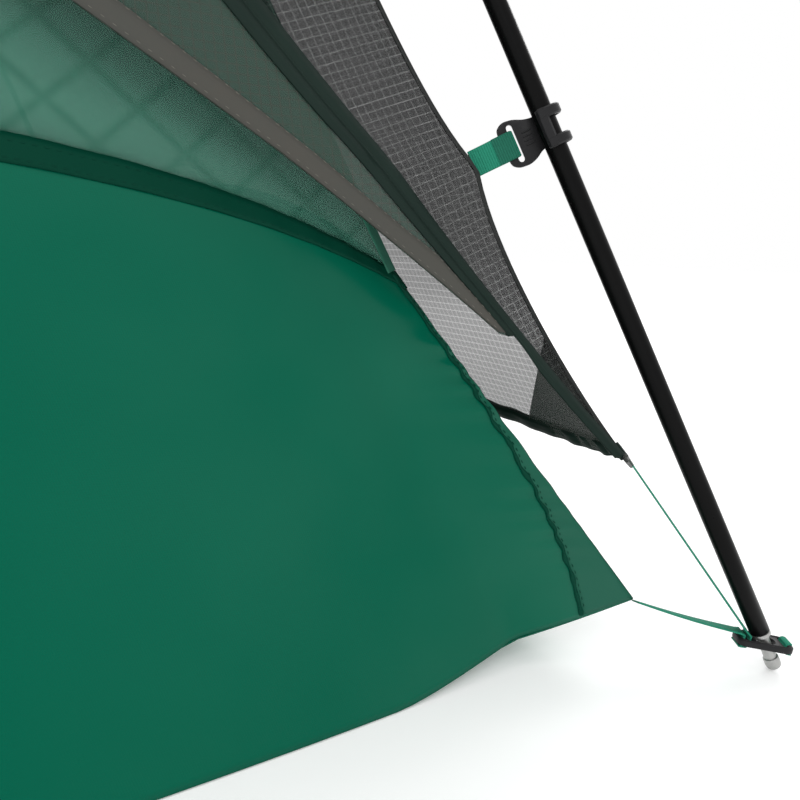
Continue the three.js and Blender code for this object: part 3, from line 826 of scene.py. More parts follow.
def make_foot_plate(corner):
    half_x, half_y, thick = 13.75 * MM, 6.5 * MM, 3 * MM
    shift = 0.9 * MM
    body = [(half_x, -half_y), (half_x, half_y), (-half_x, half_y), (-half_x, -half_y)]
    body = [(x + shift, y) for x, y in body]
    bore_low = (-1.07 * MM, 5.03 * MM, 4.1 * MM)
    bore_high = (1.05 * MM, 5.9 * MM, 4.9 * MM)
    outlines = [
        rounded_path(body, 5 * MM, 8),
        slot_path(11.4 * MM + shift, 8.6 * MM, 1.6 * MM),
        slot_path(8.35 * MM + shift, 9.6 * MM, 1.3 * MM),
        slot_path(-9.6 * MM + shift, 9.2 * MM, 1.8 * MM),
        ellipse_path(*bore_low),
    ]

    def widen(mesh):
        for vert in mesh.verts:
            inside = ((vert.co.x - bore_low[0]) / bore_low[1]) ** 2 + (vert.co.y / bore_low[2]) ** 2
            if vert.co.z > 0 and inside < 1.01:
                vert.co.x = bore_high[0] + (vert.co.x - bore_low[0]) * bore_high[1] / bore_low[1]
                vert.co.y *= bore_high[2] / bore_low[2]

    mesh = flat_plate(bmesh.new(), outlines, -thick / 2, thick / 2, 0.35 * MM, widen)
    inner = [(x * 0.93 + shift * 0.07, y * 0.86) for x, y in body]
    lip_path = [Vector((p.x, p.y, thick / 2)) for p in rounded_path(inner, 4.4 * MM, 8)]
    frames = along_path(lip_path + lip_path[:1], Vector((0, 0, 1)))
    lip = swept(bmesh.new(), circle_ring(0.45 * MM, 8), frames, capped=False)
    joined(mesh, lip)
    moved(mesh, leg_frame(corner) @ plate_frame())
    node = "foot_plate_" + corner
    finished(
        mesh, "plate_body_" + corner, finish_for("plastic"), "plate_" + corner,
        [node],
    )
    make_pull_stub(corner)


def make_pull_stub(corner):
    """A short folded end of webbing in the plate's outer slot, to pull it off the tip."""
    x = -8.7 * MM
    path = [
        (-2.6, 2.7), (-1.3, 2.9), (-0.3, 2.4), (-0.05, 1.4), (0.0, 0.0), (-0.1, -1.5),
        (-1.2, -2.4), (-3.4, -2.5),
    ]
    points = [Vector((x + dx * MM, 0, z * MM)) for dx, z in path]
    frames = along_path(points, Vector((0, 1, 0)))
    mesh = swept(bmesh.new(), box_ring(8.2 * MM, 0.8 * MM), frames)
    moved(mesh, leg_frame(corner) @ plate_frame())
    finished(mesh, "pull_tab_" + corner, finish_for("webbing"), "plate_" + corner)


class ShelterFootPlates(bpy.types.Operator):
    """Slotted plates on the pole tips, with their pull tabs"""

    bl_idname = "shelter.foot_plates"
    bl_label = "Foot plates"

    def execute(self, context):
        for corner in CORNERS:
            make_foot_plate(corner)
        return {"FINISHED"}


CLIP_SPAN = 20.8 * MM
CLIP_BACK = 7.35 * MM
CLIP_FRONT = 5.15 * MM
CLIP_HALF = 8.7 * MM
CLIP_RISE = 2.0 * MM  # the hook sits a little above the clip's middle
PLATE_RISE = 1.0 * MM
SLOT_AT = 14.8 * MM


def make_clip(corner, which):
    outline = [
        (-4, -7.3), (4.5, -7.6), (8.5, -10.2), (12, -11.2), (17, -10.6), (19.8, -8.6),
        (20.6, -3), (20.8, 4.5), (20.4, 9), (17.2, 10.8), (12.5, 10.2), (8, 8.0), (4.5, 7.2),
        (-4, 7.3),
    ]
    body = [(x * MM, y * MM) for x, y in outline]
    outlines = [rounded_path(body, 3 * MM, 4), slot_path(SLOT_AT, 17.4 * MM, 2.8 * MM)]
    mesh = flat_plate(bmesh.new(), outlines, CLIP_FRONT, CLIP_BACK, 0.5 * MM)
    for rib in range(4):
        y = (rib - 1.5) * 1.9 * MM
        path = [Vector((x * MM, y, CLIP_FRONT)) for x in (6.4, 7.0, 10.2, 10.8)]
        frames = along_path(path, Vector((0, 1, 0)), [0.5, 1, 1, 0.5])
        joined(mesh, swept(bmesh.new(), circle_ring(0.4 * MM, 8), frames))
    bmesh.ops.translate(mesh, vec=(0, PLATE_RISE, 0), verts=mesh.verts)
    for end in (-1, 1):
        joined(mesh, clip_finger(end))
    joined(mesh, clip_bar())
    place = leg_frame(corner) @ clip_frame(CLIP_AT[which] + CLIP_RISE)
    moved(mesh, place)
    name = f"clip_{which}_{corner}"
    finished(mesh, "hook_" + name, finish_for("plastic"), name, [name])


def clip_finger(end):
    """One finger of the hook, from the plate round the outside of the pole to its front."""
    turns = [math.radians(278 - 212 * i / 22) for i in range(23)]
    path = []
    for i, turn in enumerate(turns):
        flare = max(i - 17, 0) / 5
        bulge = 0.55 * math.sin(math.pi * i / 22)
        radius = (6.25 + bulge + 1.3 * flare * flare) * MM
        path.append(Vector((radius * math.cos(turn), end * 6.35 * MM, -radius * math.sin(turn))))
    frames = along_path(path, Vector((0, 1, 0)))
    return swept(bmesh.new(), box_ring(4.5 * MM, 2.2 * MM, 0.32), frames)


def clip_bar():
    """The raised bar that joins the fingers in front of the pole."""
    ends = [-1.0, -0.94, -0.6, 0.0, 0.6, 0.94, 1.0]
    thick = [0.55, 0.95, 1.0, 1.0, 1.0, 0.95, 0.55]
    path = [Vector((1.7 * MM, t * CLIP_HALF, -6.5 * MM)) for t in ends]
    frames = along_path(path, Vector((1, 0, 0)), thick)
    return swept(bmesh.new(), box_ring(5.0 * MM, 2.6 * MM, 0.34), frames)


def make_clip_strap(corner, which):
    """Webbing that loops through the clip's slot and is sewn to the fly's hip."""
    along = CLIP_AT[which] + CLIP_RISE + PLATE_RISE
    sizes, _ = settings()
    cloth_at = fly_depth(along, 0) - 0.2 * MM
    middle = (CLIP_FRONT + CLIP_BACK) / 2
    near, far = CLIP_FRONT - 0.75 * MM, CLIP_BACK + 0.75 * MM
    path = [
        (cloth_at, middle - 0.62 * MM), (cloth_at - 3 * MM, middle - 0.62 * MM),
        (cloth_at - 7.5 * MM, middle - 0.7 * MM), (CLIP_SPAN + 1.4 * MM, near + 0.3 * MM),
        (CLIP_SPAN - 0.6 * MM, near), (SLOT_AT + 1.4 * MM, near), (SLOT_AT + 0.35 * MM, near + 0.4 * MM),
        (SLOT_AT, middle - 0.6 * MM), (SLOT_AT, middle + 0.6 * MM),
        (SLOT_AT + 0.35 * MM, far - 0.4 * MM), (SLOT_AT + 1.4 * MM, far),
        (CLIP_SPAN - 0.6 * MM, far), (CLIP_SPAN + 1.4 * MM, far - 0.3 * MM),
        (cloth_at - 7.5 * MM, middle + 0.7 * MM), (cloth_at - 3 * MM, middle + 0.62 * MM),
        (cloth_at, middle + 0.62 * MM),
    ]
    points = [Vector((x, 0, z)) for x, z in path]
    frames = along_path(points, Vector((0, 1, 0)))
    mesh = swept(bmesh.new(), box_ring(sizes.webbing, 1.05 * MM, 0.35), frames)
    row = [Vector((cloth_at - 4.5 * MM, y * MM, middle - 1.2 * MM)) for y in (-4.6, 4.6)]
    seam = stitch_row(bmesh.new(), row, [Vector((0, 0, -1))] * 2, 1.5 * MM, 1.2 * MM, 0.4 * MM)
    joined(mesh, seam)
    place = leg_frame(corner) @ clip_frame(along)
    moved(mesh, place)
    name = f"{which}_{corner}"
    strap = finished(
        mesh, "loop_" + name, finish_for("webbing"), None, ["clip_strap_" + name],
    )
    # A second, darker layer over the strap's near face from the slot outward: painted shade where the
    # strap runs in under the clip.
    shade_ply = [
        (CLIP_SPAN + 3.6 * MM, near + 0.1 * MM), (CLIP_SPAN - 0.6 * MM, near - 0.1 * MM),
        (SLOT_AT + 1.4 * MM, near - 0.1 * MM), (SLOT_AT + 0.5 * MM, near + 0.2 * MM),
    ]
    frames = along_path([Vector((x, 0, z)) for x, z in shade_ply], Vector((0, 1, 0)))
    mesh = swept(bmesh.new(), box_ring(sizes.webbing + 0.2 * MM, 1.1 * MM, 0.35), frames)
    moved(mesh, place)
    finished(mesh, "ply_" + name, finish_for("webbing_ply"), "clip_" + name)
    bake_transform(strap)


class ShelterClips(bpy.types.Operator):
    """Clips that hook over the poles, with their webbing loops"""

    bl_idname = "shelter.clips"
    bl_label = "Pole clips"

    def execute(self, context):
        for corner in CORNERS:
            for which in CLIP_AT:
                make_clip(corner, which)
                make_clip_strap(corner, which)
        return {"FINISHED"}


def fly_corner_point():
    inward, height, _ = leg_at(FLY_CORNER, fly_depth(FLY_CORNER, 0))
    return Vector((inward, 0, height))


FLOOR_CORNER = Vector((math.hypot(HALF_LENGTH - TUB_BASE[0], HALF_WIDTH - TUB_BASE[1]), 0, CORNER_LIFT))


def make_tape(corner, name, cloth_point, slot_x, sag, node, turns, tail):
    """A tape sewn to a cloth corner, threaded through a slot of the foot plate and back."""
    sizes, _ = settings()
    plate = plate_frame()
    top = plate @ Vector((slot_x - 0.1 * MM, 0, 3.3 * MM))
    slot_in = plate @ Vector((slot_x, 0, 1.2 * MM))
    slot_out = plate @ Vector((slot_x, 0, -1.4 * MM))
    under = plate @ Vector((slot_x + 0.35 * tail, 0, -2.5 * MM))
    back = plate @ Vector((slot_x + tail, 0, -2.6 * MM))
    path = []
    steps = 24
    for i in range(steps + 1):
        t = i / steps
        point = cloth_point.lerp(top, t)
        point.z -= sag * math.sin(math.pi * t)
        path.append(point)
    path += [slot_in, slot_out, under, back]
    across = []
    for i in range(len(path)):
        t = min(i / steps, 1)
        twist = math.radians(mix(turns[0], turns[1], t)) if i < steps else 0.0
        across.append(Vector((0, math.cos(twist), math.sin(twist))))
    frames = along_path(path, across)
    mesh = swept(bmesh.new(), box_ring(sizes.tape, 0.8 * MM, 0.35), frames)
    place = leg_frame(corner)
    moved(mesh, place)
    tape = finished(mesh, name + corner, finish_for("webbing"), None, [node + corner])
    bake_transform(tape)


class ShelterTapes(bpy.types.Operator):
    """Tapes from the cloth corners to the foot plates"""

    bl_idname = "shelter.tapes"
    bl_label = "Corner tapes"

    def execute(self, context):
        for corner in CORNERS:
            tab = fly_corner_point() + Vector((-2.5 * MM, 0, -2.0 * MM))
            make_tape(
                corner, "corner_tape_fly_", tab, 9.25 * MM, 0.0, "fly_tape_", (-7, -9), 4 * MM,
            )
            hem = FLOOR_CORNER + Vector((-1.2 * MM, 0, -0.6 * MM))
            make_tape(
                corner, "corner_tape_floor_", hem, 12.3 * MM, 0.8 * MM, "floor_tape_", (19, 7),
                1.6 * MM,
            )
        return {"FINISHED"}


# ---- Cloth panels ----


def laid_flat(sheet, across):
    """A panel's points once it is laid flat: across it, and up along its own profile."""
    spots = [vertex.co for vertex in sheet.data.vertices]
    if across is None:
        return [(spot.x, spot.y) for spot in spots]
    low = min(spot.z for spot in spots)
    rows = 16 / (max(spot.z for spot in spots) - low + 1e-6)
    outs = [[] for _ in range(16)]
    for spot in spots:
        outs[int((spot.z - low) * rows)].append(spot[1 - across])
    means = [sum(row) / len(row) for row in outs]
    up = [0.0]
    for i in range(16):
        near = min(max(i, 1), 15)
        up.append(up[-1] + math.hypot(means[near] - means[near - 1], 1 / rows))
    flat = []
    for spot in spots:
        row = (spot.z - low) * rows
        flat.append((spot[across], mix(up[int(row)], up[int(row) + 1], row % 1)))
    return flat


def run_length(points):
    return sum((b - a).length for a, b in zip(points, points[1:]))


def declare(sheet, across, size=None):
    """Works out the smallest rectangle that a panel's cut fits in, and its flat area; the results are
    not kept.
    """
    flat = laid_flat(sheet, across)
    turn = Matrix.Rotation(geometry.box_fit_2d(flat), 2)
    flat = [turn @ Vector(spot) for spot in flat]
    width, length = size or [max(p[k] for p in flat) - min(p[k] for p in flat) for k in (0, 1)]
    area = sum(face.area for face in sheet.data.polygons)
    if area > width * length:
        slope = math.sqrt(area / (width * length))
        width, length = width * slope, length * slope


def panel(name, surface, columns, rows, cut, finish, body, replaced=(), wall=None):
    sizes, _ = settings()
    mesh = laid(surface, columns, rows, cut)
    piece = finished(mesh, name, finish_for(finish), body, replaced)
    return walled(piece, wall or sizes.cloth)


def raised(surface, u, v, lift, step=0.002):
    """A point of a surface, lifted off it along its outward normal."""
    across = surface(min(u + step, 1), v) - surface(max(u - step, 0), v)
    upward = surface(u, min(v + step, 1)) - surface(u, max(v - step, 0))
    return surface(u, v) + across.cross(upward).normalized() * lift


def ripple(point, scale, height, seed=0.0):
    return (noise.noise(point * scale + Vector((seed, seed, seed)))) * height


def face_turn(u, sy, first, last):
    """Runs a front panel left to right and a back panel right to left."""
    turn = first + (last - first) * u
    return math.pi - turn if sy < 0 else turn


def band_width(turn):
    """The zip band narrows where it nears a corner."""
    sizes, _ = settings()
    turn = min(turn, math.pi - turn)
    t = clamped((turn - 0.25) / 0.2)
    ease = t * t * (3 - 2 * t)
    return mix(0.45 * sizes.zip_band, sizes.zip_band, ease)


DOOR_TURN = 0.25  # where the zip's door half starts
HEM_TURN = 0.31  # where the door's hem meets it
CORNER_TURN = 0.03
FACE_RISE = math.hypot(math.sin(LEAN) * math.sin(DIAGONAL), math.cos(LEAN))
HIP_LEAN = math.atan2(math.sin(LEAN) * math.cos(DIAGONAL), FACE_RISE)


def zip_turn(turn):
    """The turn on the zip arch that a turn on the hem is joined to by the door's cloth."""
    folded = min(turn, math.pi - turn)
    shift = (HEM_TURN - DOOR_TURN) * math.exp((HEM_TURN - folded) / 0.12)
    return turn - shift if turn < math.pi / 2 else turn + shift


def door_point(turn, v):
    """Across and along the leg, from the hem (v = 0) to the zip band (v = 1)."""
    far = zip_turn(turn)
    upper, lower = shrunk(zip_arch(far), band_width(far)), hem_arch(turn)
    return mix(lower[0], upper[0], v), mix(lower[1], upper[1], v)


def wing_surface(sy, first, last):
    def surface(u, v):
        turn = face_turn(u, sy, first, last)
        inner, outer = zip_arch(turn), hip_at(turn)
        x, along = mix(inner[0], outer[0], v), mix(inner[1], outer[1], v)
        point = fly_face(sy, x, along)
        calm = math.sin(math.pi * clamped(v)) * min(turn, math.pi - turn)
        point.y += sy * ripple(point, 7.0, 3.5 * MM, 4.0) * min(calm * 2, 1)
        return point
    return surface


def make_wing(side, sy, half):
    """One half of the narrow panel between the door's zip and the hips."""
    first, last = (CORNER_TURN, math.pi / 2) if half == 0 else (math.pi / 2, math.pi - CORNER_TURN)
    if sy < 0:
        first, last = math.pi - last, math.pi - first
    surface = wing_surface(sy, first, last)

    def cut(u, v):
        turn = face_turn(u, sy, first, last)
        inner, outer = zip_arch(turn), hip_at(turn)
        x, y = mix(inner[0], outer[0], v), FACE_RISE * mix(inner[1], outer[1], v)
        lean = math.copysign(HIP_LEAN, x)
        return x * math.cos(lean) + y * math.sin(lean), y * math.cos(lean) - x * math.sin(lean)

    name = f"wing_{side}_{'right' if (half == 0) == (sy > 0) else 'left'}"
    replaced = ["fly_side_" + side] if half == 0 else []
    return panel(name, surface, 96, 20, cut, "fly", "root", replaced)


def arch_strip(sy, first, last, inset_near, inset_far, lift):
    """A strip along the zip arch, between two insets from it."""
    def flat(u, v):
        turn = face_turn(u, sy, first, last)
        x, along = shrunk(zip_arch(turn), mix(inset_far(turn), inset_near(turn), v))
        return fly_face(sy, x, along)

    def surface(u, v):
        return raised(flat, u, v, lift)

    def cut(u, v):
        turn = face_turn(u, sy, first, last)
        return shrunk(zip_arch(turn), mix(inset_far(turn), inset_near(turn), v))

    return surface, cut


def make_zip(side, sy):
    """The zip band's outer half on the wing, its inner half on the door, and its coil."""
    def outer_inset(turn):
        folded = min(turn, math.pi - turn)
        share = 1 - 0.5 * clamped((folded - DOOR_TURN + 0.04) / 0.04)
        return band_width(turn) * share

    whole = (CORNER_TURN, math.pi - CORNER_TURN)
    surface, cut = arch_strip(sy, *whole, lambda t: -1.2 * MM, outer_inset, 0.9 * MM)
    panel("zip_outer_" + side, surface, 220, 2, cut, "zip_band", "root", (), 0.7 * MM)
    opened = (DOOR_TURN, math.pi - DOOR_TURN)
    surface, cut = arch_strip(
        sy, *opened, lambda t: 0.52 * band_width(t), lambda t: band_width(t) + 1.0 * MM, 0.9 * MM,
    )
    inner = panel(
        "zip_inner_" + side, surface, 200, 2, cut, "zip_band", "fly_door_" + side,
        (), 0.7 * MM,
    )
    path = []
    steps = 300
    for i in range(steps + 1):
        turn = mix(opened[0] - 0.05, opened[1] + 0.05, i / steps)
        x, along = shrunk(zip_arch(turn), 0.5 * band_width(turn))
        path.append(fly_face(sy, x, along) + Vector((0, sy * 0.55, 0.4)) * MM)
    frames = along_path(path, Vector((0, -sy * 0.5, 0.85)))
    mesh = swept(bmesh.new(), circle_ring(0.75 * MM, 6), frames)
    finished(mesh, "zip_coil_" + side, finish_for("zip_band"), "root")
    return inner


def make_hip_seam(corner):
    """The folded tape that joins a wing and an end panel over the hip."""
    sizes, _ = settings()
    half = sizes.hip_seam / 2
    ring = ridge_ring(half, -1.4 * MM, -0.25 * MM, -0.7 * MM, 0.45 * MM)
    frames = []
    steps = 240
    for i in range(steps + 1):
        along = mix(FLY_CORNER - 1.5 * MM, TOP_STOP - 4 * MM, i / steps)
        frames.append(pole_frame(along, fly_depth(along, 0)))
    mesh = swept(bmesh.new(), ring, frames)
    for edge in (-1, 1):
        row = [f @ Vector((edge * half * 0.75, -0.35 * MM, 0)) for f in frames]
        outs = [(f.to_3x3() @ Vector((edge * 0.6, 0.8, 0))).normalized() for f in frames]
        seam = stitch_row(bmesh.new(), row, outs, sizes.stitch, 1.8 * MM, 0.35 * MM)
        joined(mesh, seam)
    moved(mesh, leg_frame(corner))
    return finished(mesh, "hip_seam_" + corner, finish_for("dark_thread"), "root")


def end_surface(sx):
    def surface(u, v):
        side = 2 * bunched(u) - 1
        along = mix(end_hem(side), TOP_STOP, v)
        half = hip_half(along, fly_depth(along, 0))[1] - SEAM_GAP
        point = end_face(sx, sx * side * half, along, fly_depth(along, half * (1 - abs(side))))
        calm = math.sin(math.pi * clamped(v)) * (1 - side * side)
        point.x += sx * ripple(point, 6.0, 4.0 * MM, 9.0) * calm
        return point
    return surface


def make_end(which, sx):
    surface = end_surface(sx)

    def cut(u, v):
        side = 2 * bunched(u) - 1
        along = mix(end_hem(side), TOP_STOP, v)
        return side * hip_half(along, 0.04)[1], along

    sheet = panel(
        "end_panel_" + which, surface, 110, 90, cut, "fly", "root",
        ["fly_end_" + which],
    )
    hem_width = 7.4 * MM

    def hem_surface(u, v):
        share = v * hem_width / 1.55
        wrinkle = (math.sin(u * 310) + math.sin(u * 177 + 1)) * 0.45 * MM * math.exp(-3 * min(u, 1 - u))
        return raised(surface, u, share, wrinkle)

    def hem_cut(u, v):
        return u * 1.5, v * hem_width

    hem = panel(
        "end_hem_" + which, hem_surface, 240, 3, hem_cut, "zip_band", "root",
        (), 2.6 * MM,
    )
    declare(sheet, 1)
    return sheet


PATCH_HEM = 66 * MM  # reach of the corner's reinforcement along the hem
PATCH_HIP = 61 * MM  # and up the hip


def make_corner_patch(corner):
    """The reinforcement on the end panel's corner."""
    sx, sy = CORNERS[corner]
    surface = end_surface(sx)
    away = 1 if sy * sx > 0 else -1

    def patch(u, v):
        share = u if away > 0 else 1 - u
        from_hip = PATCH_HEM * share * (1 - v) + 0.5 * MM
        side = away * (1 - from_hip / TUB_BASE[1])
        return raised(surface, math.acos(-side) / math.pi, v * PATCH_HIP / 1.55 + 0.0006, -0.8 * MM)

    def cut(u, v):
        return u * PATCH_HEM, v * PATCH_HIP

    name = "corner_patch_" + corner
    return panel(name, patch, 24, 24, cut, "patch", "root", (), 0.8 * MM)


def make_tab(corner):
    """The small square of folded cloth that the tape is sewn into."""
    centre = fly_corner_point() + Vector((-0.5 * MM, 0, -0.4 * MM))
    mesh = eased_box(7.0 * MM, 8.5 * MM, 2.2 * MM)
    tilt = Matrix.Rotation(math.radians(-55), 3, "Y")
    bmesh.ops.rotate(mesh, cent=(0, 0, 0), matrix=tilt, verts=mesh.verts)
    bmesh.ops.translate(mesh, vec=centre, verts=mesh.verts)
    moved(mesh, leg_frame(corner))
    return finished(mesh, "corner_tab_" + corner, finish_for("patch"), "root")


class ShelterFly(bpy.types.Operator):
    """Fly wings, end panels, hip seams, hems and reinforced corners"""

    bl_idname = "shelter.fly"
    bl_label = "Fly"

    def execute(self, context):
        for side, sy in (("front", -1), ("back", 1)):
            for half in (0, 1):
                declare(make_wing(side, sy, half), 0)
        make_end("right", 1)
        make_end("left", -1)
        for corner in CORNERS:
            make_hip_seam(corner)
            patch = make_corner_patch(corner)
            declare(patch, 1)
            make_tab(corner)
        return {"FINISHED"}


def door_surface(sy):
    def surface(u, v):
        turn = face_turn(u, sy, HEM_TURN, math.pi - HEM_TURN)
        point = fly_face(sy, *door_point(turn, v))
        calm = math.sin(math.pi * clamped(v)) * math.sin(turn)
        point.y += sy * ripple(point, 5.0, 4.0 * MM, 2.0) * calm
        return point
    return surface


def make_door(side, sy):
    surface = door_surface(sy)

    def cut(u, v):
        return door_point(face_turn(u, sy, HEM_TURN, math.pi - HEM_TURN), v)

    body = "fly_door_" + side
    sheet = panel("door_panel_" + side, surface, 130, 44, cut, "door", body, [body])
    binding = 20 * MM

    def hem_flat(u, v):
        turn = face_turn(u, sy, HEM_TURN + 0.002, math.pi - HEM_TURN - 0.002)
        lower, upper = door_point(turn, 0), door_point(turn, 1)
        span = max(math.hypot(upper[0] - lower[0], upper[1] - lower[1]), 1e-4)
        return fly_face(sy, *door_point(turn, min(binding / span, 0.8) * v))

    def hem_surface(u, v):
        return raised(hem_flat, u, v, 0.7 * MM)

    hem = panel(
        "door_hem_" + side, hem_surface, 200, 3, lambda u, v: (u * 2.6, v * binding), "hem",
        body, (), 0.8 * MM,
    )
    sizes, _ = settings()
    mesh = bmesh.new()
    for v in (0.12, 0.92):
        count = 260
        row = [hem_flat(i / count, v) for i in range(count + 1)]
        out = Vector((0, sy * 0.66, 0.6)).normalized()
        row = [point + out * 1.15 * MM for point in row]
        stitch_row(mesh, row, [out] * len(row), sizes.stitch * 1.3, 2.0 * MM, 0.35 * MM)
    seam = finished(mesh, "door_stitches_" + side, finish_for("thread"), body)
    inner = make_zip(side, sy)
    # A crescent leaves most of its rectangle empty, so its hem and its breadth are given.
    along_hem = run_length([surface(i / 130, 0) for i in range(131)])
    breadth = run_length([surface(0.5, i / 44) for i in range(45)])
    declare(sheet, 0, (along_hem, breadth))
    return sheet


def make_slider(name, at, travel, outward, node, body):
    """A zip slider: a rounded body with a bridge and a hinged puller."""
    side = outward.cross(travel)
    place = basis(travel, side, outward, at)
    mesh = eased_box(12 * MM, 7.4 * MM, 2.6 * MM)
    arc = in_plane((
        (-4.2, 1.0), (-4.0, 2.0), (-2.6, 2.8), (0.0, 3.1), (2.6, 2.8), (4.0, 2.0), (4.2, 1.0),
    ))
    frames = along_path(arc, Vector((0, 1, 0)))
    joined(mesh, swept(bmesh.new(), box_ring(2.0 * MM, 0.9 * MM), frames))
    outline = [(-2.6, 0), (2.6, 0), (3.4, -17), (2.6, -21), (-2.6, -21), (-3.4, -17)]
    outline = [(-x * MM, y * MM) for x, y in outline]
    puller = flat_plate(
        bmesh.new(), [rounded_path(outline, 1.6 * MM, 4)], -0.7 * MM, 0.7 * MM, 0.3 * MM,
    )
    turned = basis(side, travel, side.cross(travel), (0, 0, 0))
    hang = Matrix.Translation(at + outward * 2.6 * MM - travel * 1.0 * MM) @ turned
    moved(puller, hang)
    moved(mesh, place)
    joined(mesh, puller)
    bmesh.ops.recalc_face_normals(mesh, faces=mesh.faces)
    finished(mesh, name, finish_for("plastic"), body, [node])


def make_fly_slider(side, sy):
    low, high = zip_arch(0.25), zip_arch(0.5)
    start = fly_face(sy, sy * low[0], low[1])
    travel = (fly_face(sy, sy * high[0], high[1]) - start).normalized()
    beyond = fly_face(sy, sy * (low[0] - 20 * MM), low[1]) - start
    outward = travel.cross(beyond).normalized()
    if outward.y * sy < 0:
        outward.negate()
    node = "fly_slider_" + side
    make_slider("zip_puller_" + side, start + outward * 3.8 * MM, travel, outward, node, node)


class ShelterDoors(bpy.types.Operator):
    """Fly doors with their bound hems, zips and pullers"""

    bl_idname = "shelter.doors"
    bl_label = "Fly doors"

    def execute(self, context):
        for side, sy in (("front", -1), ("back", 1)):
            make_door(side, sy)
            make_fly_slider(side, sy)
        return {"FINISHED"}


# ---- Inner tent ----

DOOR_SILL = tub_edge(TUB_TOP[0]) + 3 * MM


def door_edge(t, margin):
    half, leap = DOOR_HALF + margin, 0.3
    if t < leap:
        return half, mix(DOOR_SILL, DOOR_SILL + DOOR_SIDE, t / leap)
    turn = (t - leap) / (1 - leap) * math.pi / 2
    return half * math.cos(turn), DOOR_SILL + DOOR_SIDE + (DOOR_ARCH + margin) * math.sin(turn)


def soft(point, sy, sx, calm):
    """Slack of a hung wall, out of its plane."""
    shift = ripple(point, 5.5, 5.0 * MM, 6.0) * calm
    return point + Vector((sx * shift, sy * shift, 0))


def front_surface(u, share):
    t = 1 - abs(2 * u - 1)
    v = 1 - (1 - share) ** 1.6
    side = -1 if u < 0.5 else 1
    inner = door_edge(t, 1.5 * MM)
    corner = tub_edge(0) + 1 * MM
    outer_along = mix(corner, TOP_STOP, math.sin(t * math.pi / 2))
    outer = hip_half(outer_along, INNER_DROP)[0] - SEAM_GAP, outer_along
    x, straight = mix(inner[0], outer[0], v), mix(inner[1], outer[1], v)
    sill_run = mix(DOOR_SILL, corner, v)
    sag = tub_edge(TUB_TOP[0] - mix(DOOR_HALF, TUB_TOP[0], v)) + 2 * MM - sill_run
    point = side_face(-1, side * x, straight + sag * (1 - t) ** 8, INNER_DROP)
    return soft(point, -1, 0, math.sin(math.pi * clamped(v)))


def inner_surface(face, half, sign):
    axis = 0 if half == TUB_TOP[0] else 1

    def surface(u, v):
        side = 2 * bunched(u) - 1
        low = tub_edge(half * (1 - abs(side))) + 1.5 * MM
        along = mix(low, TOP_STOP, v)
        reach = hip_half(along, INNER_DROP)[axis] - SEAM_GAP
        across = (-sign if axis == 0 else sign) * side * reach
        point = face(sign, across, along, INNER_DROP)
        calm = math.sin(math.pi * clamped(v)) * (1 - side * side)
        return soft(point, sign if axis == 0 else 0, sign if axis == 1 else 0, calm)

    return surface


def slanted(x, y):
    """Turns the inner cloth's cut by 45 degrees, so that the painted shadow lines on it run diagonally.
    """
    return (x + y) * math.sqrt(0.5), (y - x) * math.sqrt(0.5)


def inner_cut(half):
    def cut(u, v):
        side = 2 * bunched(u) - 1
        low = tub_edge(half * (1 - abs(side)))
        along = mix(low, TOP_STOP, v)
        return slanted(side * half * (1 - 0.6 * v), along)
    return cut


def inner_door_surface(u, v):
    x = DOOR_HALF * (2 * bunched(u) - 1)
    top = DOOR_SILL + DOOR_SIDE + DOOR_ARCH * math.sqrt(max(1 - (x / DOOR_HALF) ** 2, 0))
    point = side_face(-1, x, mix(DOOR_SILL, top, v), INNER_DROP)
    calm = math.sin(math.pi * clamped(v)) * (1 - (x / DOOR_HALF) ** 2)
    return soft(point, -1, 0, calm)


def make_inner_zip():
    """The tape round the inner door, half on the wall and half on the door."""
    for name, body, low, high in (
        ("inner_zip_wall", "root", 0.4 * MM, 8 * MM),
        ("inner_zip_door", "inner_door", -8 * MM, -0.4 * MM),
    ):
        def flat(u, v, low=low, high=high):
            t = 1 - abs(2 * u - 1)
            x, along = door_edge(max(t, 1e-4), mix(low, high, v))
            side = -1 if u < 0.5 else 1
            return side_face(-1, side * x, along, INNER_DROP)

        def surface(u, v, flat=flat):
            return flat(u, v) + Vector((0, -0.75, 0.66)) * 1.0 * MM

        panel(
            name, surface, 160, 2, lambda u, v: (u * 2.0, v * 8 * MM), "inner_seam", body,
            (), 0.8 * MM,
        )


def make_inner_hip(corner):
    """The flat seam over an inner hip."""
    frames = []
    low = tub_edge(0) + 2 * MM
    for i in range(161):
        along = mix(low, TOP_STOP - 6 * MM, i / 160)
        frames.append(pole_frame(along, INNER_DROP - 0.5 * MM))
    ring = ridge_ring(4.0 * MM, -2.9 * MM, -0.1 * MM, -2.2 * MM, 0.7 * MM)
    mesh = swept(bmesh.new(), ring, frames)
    moved(mesh, leg_frame(corner))
    finished(mesh, "inner_hip_" + corner, finish_for("inner_seam"), "root")


